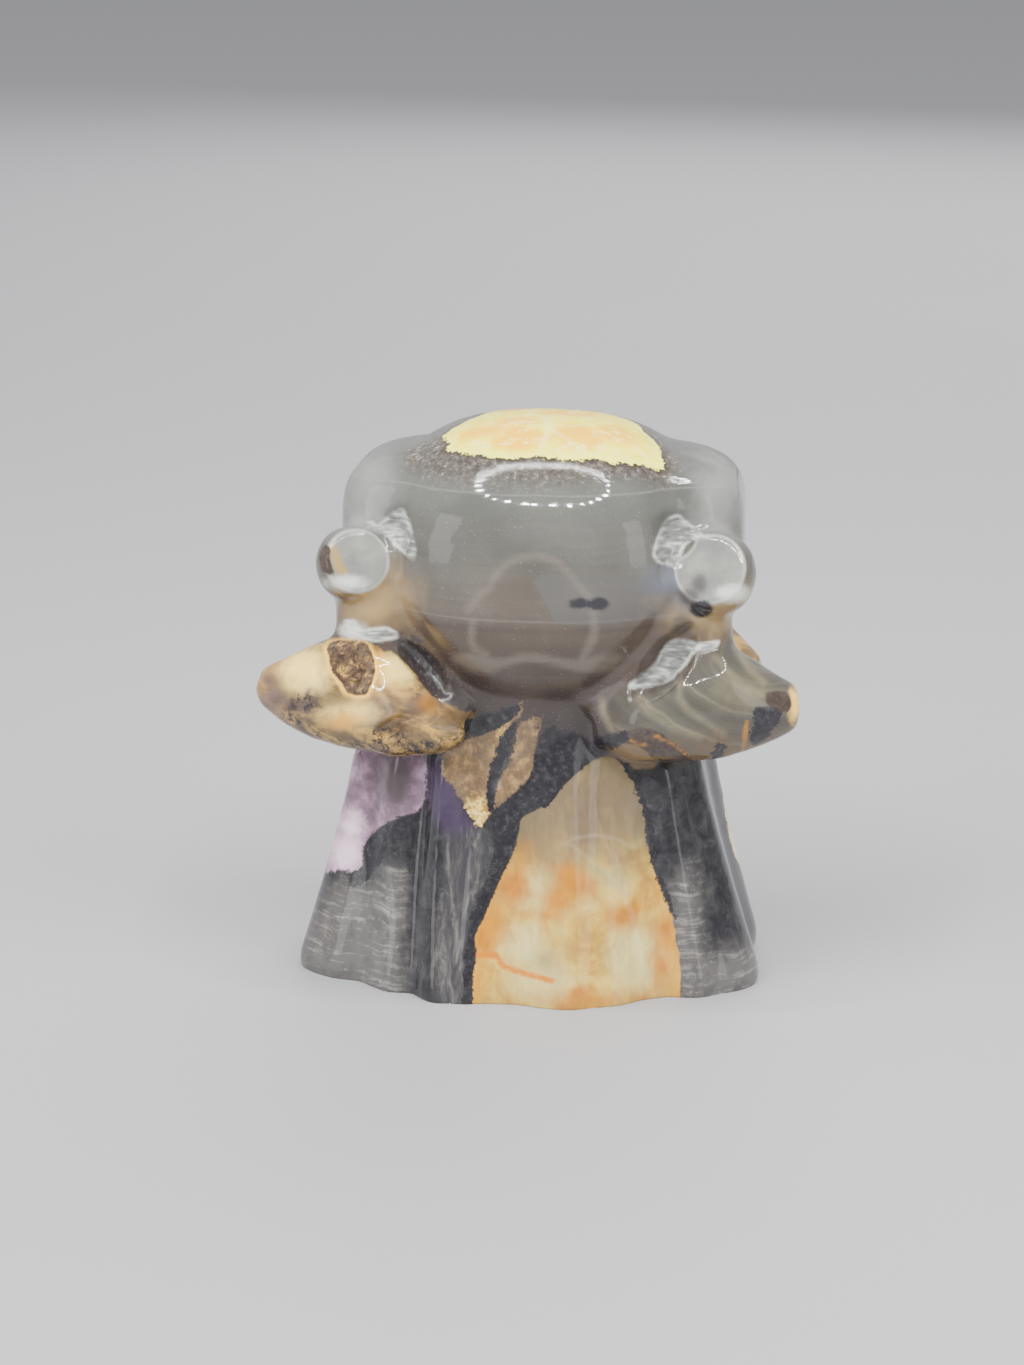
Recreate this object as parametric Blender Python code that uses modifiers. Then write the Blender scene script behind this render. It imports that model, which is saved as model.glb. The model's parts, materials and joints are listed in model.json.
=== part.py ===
"""Agate ghost carving: one polished stone with a domed head, a knob and a curved lobe at each of its four
corners, and a flared skirt of soft folds that it stands on.

It is made as a carver makes it: overlapping solids are roughed out as one, tumbled until they blend, cut
with scoops between the head and the corners, polished, and last ground flat below.
Metres, +Z up, the origin on the base under the middle of the stone, and the photographed side to -Y."""

import math

import bmesh
import bpy
import numpy as np
from mathutils import Matrix, Vector

MM = 0.001
SIDES = 96  # points round a section of the skirt
LOBE_SIDES = 28

# Where the stone's middle lies from the axis that its shapes are drawn round, in millimetres
MIDDLE_X = 0.075
MIDDLE_Y = -0.095

# The skirt in plan, at its hem and at its waist, anticlockwise from its right front corner
HEM = [
    (33.6, -9.8), (27.6, -15.8), (21.6, -17.2), (17.8, -17.0), (14.4, -20.6), (8.8, -23.4), (1.6, -22.6),
    (-6.0, -21.6), (-9.6, -23.8), (-12.8, -22.6), (-15.4, -19.8), (-19.4, -19.6), (-22.0, -16.2),
    (-29.8, -13.4), (-34.4, -8.8), (-31.6, -1.5), (-33.2, 8.2), (-27.0, 15.6), (-19.0, 17.0), (-13.0, 21.8),
    (-4.6, 20.6), (3.0, 23.4), (11.4, 20.2), (18.6, 19.8), (27.0, 14.2), (32.6, 10.6), (30.8, 0.6),
]
WAIST = [
    (24.4, -7.6), (18.6, -13.4), (12.6, -13.2), (6.0, -16.9), (0.0, -16.4), (-6.0, -14.3), (-11.2, -16.6),
    (-15.0, -12.9), (-18.8, -13.9), (-21.2, -10.8), (-25.8, -6.0), (-24.2, 0.0), (-25.2, 6.0),
    (-19.0, 12.8), (-8.0, 15.2), (4.0, 16.4), (14.0, 14.2), (20.0, 12.8), (25.4, 6.8), (23.4, 0.0),
]
WAIST_Z = 31.0
FLARE = 1.18  # 1 is a straight flare, more is a hollow one
HEM_Z = 1.6  # below this the hem turns in
HEM_TURN = 0.965
SKIRT_TOP_Z = 47.0
SKIRT_TOP = 0.66  # of the waist, inside the head

# The head: a barrel that narrows to a foot, and a slab across the stone that makes its shoulders
BARREL_MIDDLE = (1.2, 0.0, 58.4)
BARREL_HALF = (24.4, 21.6, 20.6)
BARREL_BULGE = 2.5
BARREL_FOOT = 0.52  # the share of its width that is left at its foot
BARREL_WAIST_Z = 60.0  # it narrows below this
SLAB_MIDDLE = (1.3, 0.0, 62.4)
SLAB_HALF = (27.9, 13.2, 12.6)
SLAB_BULGE = 4.6
NECK_Z = (30.0, 36.0, 43.0, 50.0)
NECK_HALF = (17.0, 15.6)

# A knob and its pillar at each front corner, left and then right
KNOB_MIDDLES = [(-23.7, -13.8, 60.4), (25.6, -13.8, 60.2)]
KNOB_RADII = [5.2, 5.7]
KNOB_AXES = [(0.30, -0.88, 0.34), (-0.16, -0.88, 0.42)]  # the way that a knob's flat looks
KNOB_BACK = 5.0  # how far the rod behind a knob reaches
KNOB_FLAT = 3.3  # from its middle to the flat that is ground on it
KNOB_FLAT_WIDER = 1.2  # how far the grinding wheel reaches past the knob
PILLAR_TOPS = [(-21.4, -11.0, 57.0), (22.6, -11.0, 57.0)]
PILLAR_FEET = [(-20.6, -11.5, 44.0), (22.6, -11.5, 45.0)]
PILLAR_RADIUS = 5.2

# A web fills the corner between each lobe's inner end and its pillar, and the head
WEBS = [((-9.0, -12.4, 38.5), (-19.0, -11.6, 50.0), 5.0), ((11.0, -12.6, 38.5), (21.0, -11.6, 50.0), 5.4)]

# A lobe's stations: middle, half height and half depth
LEFT_LOBE = [
    ((-8.0, -16.8, 38.2), 1.9, 2.2), ((-12.6, -17.2, 38.1), 3.9, 4.0), ((-18.0, -16.4, 40.4), 6.8, 5.6),
    ((-24.6, -14.2, 42.3), 8.2, 6.4), ((-29.0, -13.2, 42.0), 7.0, 6.0), ((-33.0, -12.6, 41.8), 5.0, 5.0),
    ((-37.2, -12.0, 42.2), 2.5, 3.0),
]
RIGHT_LOBE = [
    ((10.0, -14.4, 38.8), 3.2, 2.4), ((15.6, -16.4, 39.6), 5.8, 4.4), ((21.0, -15.8, 41.4), 7.6, 6.0),
    ((26.6, -14.0, 42.6), 8.6, 6.4), ((31.4, -13.0, 41.8), 6.2, 5.8), ((34.6, -12.6, 41.4), 4.4, 4.8),
    ((37.2, -12.2, 41.4), 3.0, 3.2),
]
LOBE_FLAT = 0.9  # how far below its middle a lobe is cut flat, as a share of its half height
BACK_REACH = 0.84  # the back corners' reach to the sides, as a share of the front ones'
BACK_STAND = 1.12  # the back knobs' stand out from the head, as a share of the front ones'
BACK_LOBE_DROP = 3.0  # how much lower a back lobe's tip is

# The scoops ground into each side: middle, half sizes, and how far the long axis leans to +X in degrees
SCOOPS = [
    ((-18.8, -17.2, 66.8), (3.5, 4.8, 4.9), -18.0),
    ((21.0, -17.2, 66.6), (3.7, 4.9, 5.2), 20.0),
    ((-13.8, -18.4, 46.9), (2.0, 4.3, 5.9), -42.0),
    ((19.6, -20.0, 49.4), (3.2, 5.6, 7.8), 40.0),
    ((-16.4, -23.8, 40.2), (1.8, 3.7, 7.0), 60.0),
]
# The ghost's face, on the side away from the photograph: two eyes and a mouth, shallow ovals
FACE_HOLLOWS = [
    ((-6.6, 23.4, 61.0), (3.5, 4.2, 5.4)),
    ((8.8, 23.4, 61.0), (3.5, 4.2, 5.4)),
    ((1.1, 22.2, 50.6), (3.2, 3.4, 3.6)),
]

# Tumbling and polishing
ROUGH_VOXEL = 0.8
ROUGH_PASSES = 8
FINE_VOXEL = 0.9
FINE_PASSES = 2
FACES_KEPT = 0.09
GROUND_DEPTH = 12.0


def smooth_radii(outline, turns):
    """The outline's distance from the axis in each direction, rounded a little between its points."""
    angles = np.array([math.atan2(y, x) for x, y in outline])
    radii = np.array([math.hypot(x, y) for x, y in outline])
    order = np.argsort(angles)
    around = np.interp(turns, angles[order], radii[order], period=2 * math.pi)
    return (np.roll(around, 1) + 2 * around + np.roll(around, -1)) / 4


def skirt_section(z):
    """The skirt's outline at one height, from the hem's shape below to the waist's above."""
    turns = np.linspace(-math.pi, math.pi, SIDES, endpoint=False)
    hem = smooth_radii(HEM, turns)
    waist = smooth_radii(WAIST, turns)
    flared = max(0.0, 1.0 - max(z, 0.0) / WAIST_Z) ** FLARE
    radii = waist + (hem - waist) * flared
    if z > WAIST_Z:
        radii = radii * (1.0 - (1.0 - SKIRT_TOP) * (z - WAIST_Z) / (SKIRT_TOP_Z - WAIST_Z))
    if z < HEM_Z:
        radii = radii * (HEM_TURN + (1.0 - HEM_TURN) * max(z + HEM_Z, 0.0) / (2 * HEM_Z))
    return [(r * math.cos(a), r * math.sin(a), z) for r, a in zip(radii, turns)]


def loft(bm, sections):
    """A closed solid through sections that have the same number of points."""
    rings = [[bm.verts.new(Vector(point) * MM) for point in section] for section in sections]
    count = len(rings[0])
    for ring, following in zip(rings, rings[1:]):
        for i in range(count):
            j = (i + 1) % count
            bm.faces.new((ring[i], ring[j], following[j], following[i]))
    bm.faces.new(list(reversed(rings[0])))
    bm.faces.new(rings[-1])


def add_skirt(bm):
    heights = [-4.0, -HEM_Z, 0.0, HEM_Z, 6.0, 11.0, 16.0, 21.0, 26.0, WAIST_Z, 37.0, SKIRT_TOP_Z]
    loft(bm, [skirt_section(z) for z in heights])


def add_bulged(bm, middle, half, bulge, foot=1.0, waist_z=0.0):
    """A sphere swelled towards a box. Below waist_z it narrows in X to the share called foot."""
    made = bmesh.ops.create_uvsphere(bm, u_segments=48, v_segments=32, radius=1.0)
    low = middle[2] - half[2]
    for vert in made["verts"]:
        way = vert.co.normalized()
        reach = sum(abs(part) ** bulge for part in way) ** (-1.0 / bulge)
        x, y, z = (middle[i] + way[i] * reach * half[i] for i in range(3))
        if z < waist_z:
            down = (waist_z - z) / (waist_z - low)
            x = middle[0] + (x - middle[0]) * (1.0 - (1.0 - foot) * down ** 1.3)
        vert.co = Vector((x, y, z)) * MM


def add_neck(bm):
    turns = [2 * math.pi * i / SIDES for i in range(SIDES)]
    loft(bm, [[(NECK_HALF[0] * math.cos(a), NECK_HALF[1] * math.sin(a), z) for a in turns] for z in NECK_Z])


def add_rod(bm, start, end, radius, end_radius=None):
    """A round rod between two points, with flat ends."""
    start = Vector(start) * MM
    end = Vector(end) * MM
    axis = end - start
    turn = axis.to_track_quat("Z", "Y").to_matrix().to_4x4()
    bmesh.ops.create_cone(
        bm, cap_ends=True, segments=40, radius1=radius * MM, radius2=(end_radius or radius) * MM,
        depth=axis.length, matrix=Matrix.Translation((start + end) / 2) @ turn)


def knob(side, turned):
    middle = Vector(KNOB_MIDDLES[side]) * turned
    axis = (Vector(KNOB_AXES[side]) * turned).normalized()
    return middle, axis, KNOB_RADII[side]


def add_corner(bm, side, back):
    """One knob on its pillar. Side 0 is the left corner and 1 the right, and back turns it to +Y."""
    turned = Vector((BACK_REACH, -BACK_STAND, 1)) if back else Vector((1, 1, 1))
    middle, axis, radius = knob(side, turned)
    add_bulged(bm, middle, (radius, radius, radius), 2.2)
    add_rod(bm, middle - axis * KNOB_BACK, middle, radius * 0.8, radius * 0.98)
    top = Vector(PILLAR_TOPS[side]) * turned
    foot = Vector(PILLAR_FEET[side]) * turned
    add_rod(bm, foot, top, PILLAR_RADIUS * 1.15, PILLAR_RADIUS)
    inner, outer, web_radius = WEBS[side]
    add_rod(bm, Vector(inner) * turned, Vector(outer) * turned, web_radius)


def add_lobe(bm, stations, back):
    """A curved lobe, lofted through upright ovals along its stations."""
    middles = [Vector(middle) for middle, _, _ in stations]
    if back:
        middles = [Vector((m.x * BACK_REACH, -m.y, m.z - BACK_LOBE_DROP * i / len(middles)))
                   for i, m in enumerate(middles)]
    sections = []
    for i, (_, height, depth) in enumerate(stations):
        along = middles[min(i + 1, len(middles) - 1)] - middles[max(i - 1, 0)]
        across = Vector((-along.y, along.x, 0.0)).normalized()
        section = []
        for k in range(LOBE_SIDES):
            turn = 2 * math.pi * k / LOBE_SIDES
            rise = max(math.sin(turn), -LOBE_FLAT)
            section.append(middles[i] + across * depth * math.cos(turn) + Vector((0, 0, height * rise)))
        sections.append(section)
    loft(bm, sections)


def rough_out():
    """Every solid of the stone in one mesh, overlapping."""
    bm = bmesh.new()
    add_skirt(bm)
    add_bulged(bm, BARREL_MIDDLE, BARREL_HALF, BARREL_BULGE, BARREL_FOOT, BARREL_WAIST_Z)
    add_bulged(bm, SLAB_MIDDLE, SLAB_HALF, SLAB_BULGE)
    add_neck(bm)
    for back in (False, True):
        for side in (0, 1):
            add_corner(bm, side, back)
        for stations in (LEFT_LOBE, RIGHT_LOBE):
            add_lobe(bm, stations, back)
    bmesh.ops.recalc_face_normals(bm, faces=bm.faces[:])
    bmesh.ops.translate(bm, verts=bm.verts[:], vec=(-MIDDLE_X * MM, -MIDDLE_Y * MM, 0))
    return bm


def new_object(name, bm, collection):
    mesh = bpy.data.meshes.new(name)
    bm.to_mesh(mesh)
    bm.free()
    made = bpy.data.objects.new(name, mesh)
    collection.objects.link(made)
    return made


def add_cutter(collection, name, middle, half, lean=0.0):
    bm = bmesh.new()
    bmesh.ops.create_uvsphere(bm, u_segments=32, v_segments=20, radius=1.0)
    size = Matrix.Diagonal((half[0] * MM, half[1] * MM, half[2] * MM, 1.0))
    place = Matrix.Translation(Vector((middle[0] - MIDDLE_X, middle[1] - MIDDLE_Y, middle[2])) * MM)
    bmesh.ops.transform(bm, verts=bm.verts[:], matrix=place @ Matrix.Rotation(math.radians(lean), 4, "Y") @ size)
    return hide_cutter(new_object(name, bm, collection))


def hide_cutter(cutter):
    cutter.hide_render = True
    cutter.display_type = "WIRE"
    return cutter


def add_scoops(collection):
    """The scoops of both sides, the flats of the knobs, and the face."""
    for turned in (Vector((1, 1, 1)), Vector((BACK_REACH, -BACK_STAND, 1))):
        for side in (0, 1):
            middle, axis, radius = knob(side, turned)
            middle = middle - Vector((MIDDLE_X, MIDDLE_Y, 0))
            bm = bmesh.new()
            wheel = radius + KNOB_FLAT_WIDER
            add_rod(bm, middle + axis * KNOB_FLAT, middle + axis * KNOB_FLAT * 4, wheel)
            hide_cutter(new_object(f"knob_flat_{side}", bm, collection))
    for i, (middle, half, lean) in enumerate(SCOOPS):
        add_cutter(collection, f"scoop_front_{i}", middle, half, lean)
        behind = (middle[0] * BACK_REACH, -middle[1] * BACK_STAND, middle[2])
        add_cutter(collection, f"scoop_back_{i}", behind, half, lean)
    for i, (middle, half) in enumerate(FACE_HOLLOWS):
        add_cutter(collection, f"face_{i}", middle, half)


def add_remesh(stone, name, voxel):
    remesh = stone.modifiers.new(name, "REMESH")
    remesh.mode = "VOXEL"
    remesh.voxel_size = voxel * MM


def add_smooth(stone, name, passes):
    smooth = stone.modifiers.new(name, "SMOOTH")
    smooth.factor = 0.5
    smooth.iterations = passes


def carve(stone, scoops, ground):
    """Tumbles, scoops, polishes and thins the stone, and grinds its base flat."""
    add_remesh(stone, "one stone", ROUGH_VOXEL)
    add_smooth(stone, "tumbled", ROUGH_PASSES)
    scooped = stone.modifiers.new("scooped", "BOOLEAN")
    scooped.operation = "DIFFERENCE"
    scooped.operand_type = "COLLECTION"
    scooped.collection = scoops
    scooped.solver = "EXACT"
    add_remesh(stone, "fine", FINE_VOXEL)
    add_smooth(stone, "polished", FINE_PASSES)
    thinned = stone.modifiers.new("thinned", "DECIMATE")
    thinned.ratio = FACES_KEPT
    flat = stone.modifiers.new("ground flat", "BOOLEAN")
    flat.operation = "DIFFERENCE"
    flat.object = ground
    flat.solver = "EXACT"


def agate():
    material = bpy.data.materials.new("banded_agate")
    material.use_nodes = True
    shader = material.node_tree.nodes["Principled BSDF"]
    shader.inputs["Base Color"].default_value = (0.24, 0.215, 0.19, 1.0)
    shader.inputs["Roughness"].default_value = 0.12
    shader.inputs["Metallic"].default_value = 0.0
    return material


def main():
    for old in list(bpy.data.objects):
        bpy.data.objects.remove(old, do_unlink=True)
    carving = bpy.data.collections.new("agate_ghost_carving")
    scoops = bpy.data.collections.new("scoops")
    grinders = bpy.data.collections.new("grinders")
    for collection in (carving, scoops, grinders):
        bpy.context.scene.collection.children.link(collection)
    stone = new_object("ghost_carving", rough_out(), carving)
    stone.data.materials.append(agate())
    add_scoops(scoops)
    block = bmesh.new()
    bmesh.ops.create_cube(block, size=1.0)
    size = Matrix.Diagonal((0.12, 0.12, GROUND_DEPTH * MM, 1.0))
    place = Matrix.Translation((0, 0, -GROUND_DEPTH * MM / 2))
    bmesh.ops.transform(block, verts=block.verts[:], matrix=place @ size)
    ground = hide_cutter(new_object("ground", block, grinders))
    carve(stone, scoops, ground)
    stone.data.shade_smooth()


main()
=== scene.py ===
# The looks of the agate ghost carving: one polished stone, carved again from the frame's own sizes at a finer
# grain, with its markings laid out as the photograph shows them. The side away from it is a guess.

import json
import math

import bmesh
import bpy
import numpy as np
from mathutils import Euler, Matrix, Vector

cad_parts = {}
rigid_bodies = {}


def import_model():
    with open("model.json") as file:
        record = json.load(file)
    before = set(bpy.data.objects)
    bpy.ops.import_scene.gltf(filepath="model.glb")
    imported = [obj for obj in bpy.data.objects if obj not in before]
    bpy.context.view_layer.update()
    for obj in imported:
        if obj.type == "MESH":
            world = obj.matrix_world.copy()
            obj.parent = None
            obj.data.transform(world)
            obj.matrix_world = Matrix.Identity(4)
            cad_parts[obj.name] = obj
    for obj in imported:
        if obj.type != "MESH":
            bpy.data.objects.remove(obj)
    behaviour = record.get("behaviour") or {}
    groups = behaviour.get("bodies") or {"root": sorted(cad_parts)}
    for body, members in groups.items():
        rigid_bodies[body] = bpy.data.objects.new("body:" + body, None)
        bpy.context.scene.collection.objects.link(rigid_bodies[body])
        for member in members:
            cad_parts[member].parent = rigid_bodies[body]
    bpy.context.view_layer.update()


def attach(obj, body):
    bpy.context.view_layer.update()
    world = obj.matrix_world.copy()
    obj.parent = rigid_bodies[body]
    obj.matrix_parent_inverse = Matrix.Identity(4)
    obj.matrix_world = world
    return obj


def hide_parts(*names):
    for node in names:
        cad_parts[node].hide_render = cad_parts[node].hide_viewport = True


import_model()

MM = 0.001
SIDES = 96
LOBE_SIDES = 28
KNOB_SIDES = 40

# The stone's own sizes in millimetres, as its solid has them
MIDDLE_X = 0.075
MIDDLE_Y = -0.095
HEM = [
    (33.6, -9.8), (27.6, -15.8), (21.6, -17.2), (17.8, -17.0), (14.4, -20.6), (8.8, -23.4), (1.6, -22.6),
    (-6.0, -21.6), (-9.6, -23.8), (-12.8, -22.6), (-15.4, -19.8), (-19.4, -19.6), (-22.0, -16.2),
    (-29.8, -13.4), (-34.4, -8.8), (-31.6, -1.5), (-33.2, 8.2), (-27.0, 15.6), (-19.0, 17.0), (-13.0, 21.8),
    (-4.6, 20.6), (3.0, 23.4), (11.4, 20.2), (18.6, 19.8), (27.0, 14.2), (32.6, 10.6), (30.8, 0.6),
]
WAIST = [
    (24.4, -7.6), (18.6, -13.4), (12.6, -13.2), (6.0, -16.9), (0.0, -16.4), (-6.0, -14.3), (-11.2, -16.6),
    (-15.0, -12.9), (-18.8, -13.9), (-21.2, -10.8), (-25.8, -6.0), (-24.2, 0.0), (-25.2, 6.0),
    (-19.0, 12.8), (-8.0, 15.2), (4.0, 16.4), (14.0, 14.2), (20.0, 12.8), (25.4, 6.8), (23.4, 0.0),
]
WAIST_Z = 31.0
FLARE = 1.18
HEM_Z = 1.6
HEM_TURN = 0.965
SKIRT_TOP_Z = 47.0
SKIRT_Z = (-4.0, -HEM_Z, 0.0, HEM_Z, 6.0, 11.0, 16.0, 21.0, 26.0, WAIST_Z, 37.0, SKIRT_TOP_Z)
SKIRT_TOP = 0.66
BARREL_MIDDLE = (1.2, 0.0, 58.4)
BARREL_HALF = (24.4, 21.6, 20.6)
BARREL_BULGE = 2.5
BARREL_FOOT = 0.52
FOOT_CURVE = 1.3
BARREL_WAIST_Z = 60.0
SLAB_MIDDLE = (1.3, 0.0, 62.4)
SLAB_HALF = (27.9, 13.2, 12.6)
SLAB_BULGE = 4.6
NECK_Z = (30.0, 36.0, 43.0, 50.0)
NECK_HALF = (17.0, 15.6)
KNOB_MIDDLES = [(-23.7, -13.8, 60.4), (25.6, -13.8, 60.2)]
KNOB_RADII = [5.2, 5.7]
KNOB_AXES = [(0.30, -0.88, 0.34), (-0.16, -0.88, 0.42)]
KNOB_BULGE = 2.2
KNOB_BACK = 5.0
KNOB_ROOT = (0.8, 0.98)
KNOB_FLAT = 3.3
KNOB_FLAT_WIDER = 1.2
PILLAR_TOPS = [(-21.4, -11.0, 57.0), (22.6, -11.0, 57.0)]
PILLAR_FEET = [(-20.6, -11.5, 44.0), (22.6, -11.5, 45.0)]
PILLAR_RADIUS = 5.2
PILLAR_SPREAD = 1.15
WEBS = [((-9.0, -12.4, 38.5), (-19.0, -11.6, 50.0), 5.0), ((11.0, -12.6, 38.5), (21.0, -11.6, 50.0), 5.4)]
LEFT_LOBE = [
    ((-8.0, -16.8, 38.2), 1.9, 2.2), ((-12.6, -17.2, 38.1), 3.9, 4.0), ((-18.0, -16.4, 40.4), 6.8, 5.6),
    ((-24.6, -14.2, 42.3), 8.2, 6.4), ((-29.0, -13.2, 42.0), 7.0, 6.0), ((-33.0, -12.6, 41.8), 5.0, 5.0),
    ((-37.2, -12.0, 42.2), 2.5, 3.0),
]
RIGHT_LOBE = [
    ((10.0, -14.4, 38.8), 3.2, 2.4), ((15.6, -16.4, 39.6), 5.8, 4.4), ((21.0, -15.8, 41.4), 7.6, 6.0),
    ((26.6, -14.0, 42.6), 8.6, 6.4), ((31.4, -13.0, 41.8), 6.2, 5.8), ((34.6, -12.6, 41.4), 4.4, 4.8),
    ((37.2, -12.2, 41.4), 3.0, 3.2),
]
LOBE_FLAT = 0.9
BACK_REACH = 0.84
BACK_STAND = 1.12
BACK_LOBE_DROP = 3.0
TURNS = (Vector((1, 1, 1)), Vector((BACK_REACH, -BACK_STAND, 1)))
SCOOPS = [
    ((-18.8, -17.2, 66.8), (3.5, 4.8, 4.9), -18.0),
    ((21.0, -17.2, 66.6), (3.7, 4.9, 5.2), 20.0),
    ((-13.8, -18.4, 46.9), (2.0, 4.3, 5.9), -42.0),
    ((19.6, -20.0, 49.4), (3.2, 5.6, 7.8), 40.0),
    ((-16.4, -23.8, 40.2), (1.8, 3.7, 7.0), 60.0),
]
FACE_HOLLOWS = [
    ((-6.6, 23.4, 61.0), (3.5, 4.2, 5.4)),
    ((8.8, 23.4, 61.0), (3.5, 4.2, 5.4)),
    ((1.1, 22.2, 50.6), (3.2, 3.4, 3.6)),
]

# The finer grain of this surface, and the druse pit that only it has
ROUGH_VOXEL = 0.8
ROUGH_PASSES = 8
FINE_VOXEL = 0.5
FINE_PASSES = 2
PIT_MIDDLE = (-23.6, -19.8, 49.0)
PIT_HALF = (3.1, 2.6, 4.2)
PIT_LEAN = -20.0
PIT_LUMPS = 0.16

# Shallow grooves between the skirt's folds: where each runs at the hem and at the waist, its half width and
# its depth. They fade out just below GROOVES_END_Z, and within GROOVES_TURN of the stone's middle plane.
FRONT_GROOVES = [
    (-24.6, -21.4, 2.0, 0.9), (-16.6, -14.8, 1.9, 1.1), (-9.9, -8.6, 1.6, 0.9), (-0.8, 2.4, 2.6, 0.6),
    (10.2, 9.4, 2.4, 0.6), (20.9, 17.6, 1.8, 0.8), (27.6, 22.4, 1.8, 0.6),
]
BACK_GROOVES = [
    (-23.0, -19.6, 2.0, 0.9), (-13.6, -12.0, 2.4, 0.9), (-4.0, -3.4, 2.6, 0.8), (6.6, 5.6, 2.4, 0.9),
    (16.4, 13.6, 2.4, 0.9), (25.0, 21.0, 2.0, 0.8),
]
GROOVES_END_Z = 38.0
GROOVES_FADE = 8.0
GROOVES_TURN = 6.0

# The photograph's camera
CAMERA_AT = Vector((0.0422, -0.4341, 0.1618))
CAMERA_TILT = math.radians(74.45)
CAMERA_TURN = math.radians(6.0)
PHOTO_SIZE = (1024, 1365)
FOCAL_PIXELS = 3200.0
SENSOR = 36.0

# How light the stone itself is where the photograph shows a level from 0 to 255, under this scene's lights
SEEN_LEVELS = (0, 40, 67, 97, 125, 148, 165, 186, 200, 215, 235, 255)
OWN_LEVELS = (0.0015, 0.006, 0.018, 0.04, 0.066, 0.098, 0.17, 0.33, 0.50, 0.68, 0.84, 0.92)
GAMMA = 2.2
BRIGHTEST = 0.95

# How much purer its colour is than it shows, at five levels
PURITY_LEVELS = (90, 140, 175, 210, 240)
PURITY = (1.15, 1.3, 1.9, 2.5, 2.6)

AGATE_IOR = 1.54

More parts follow.
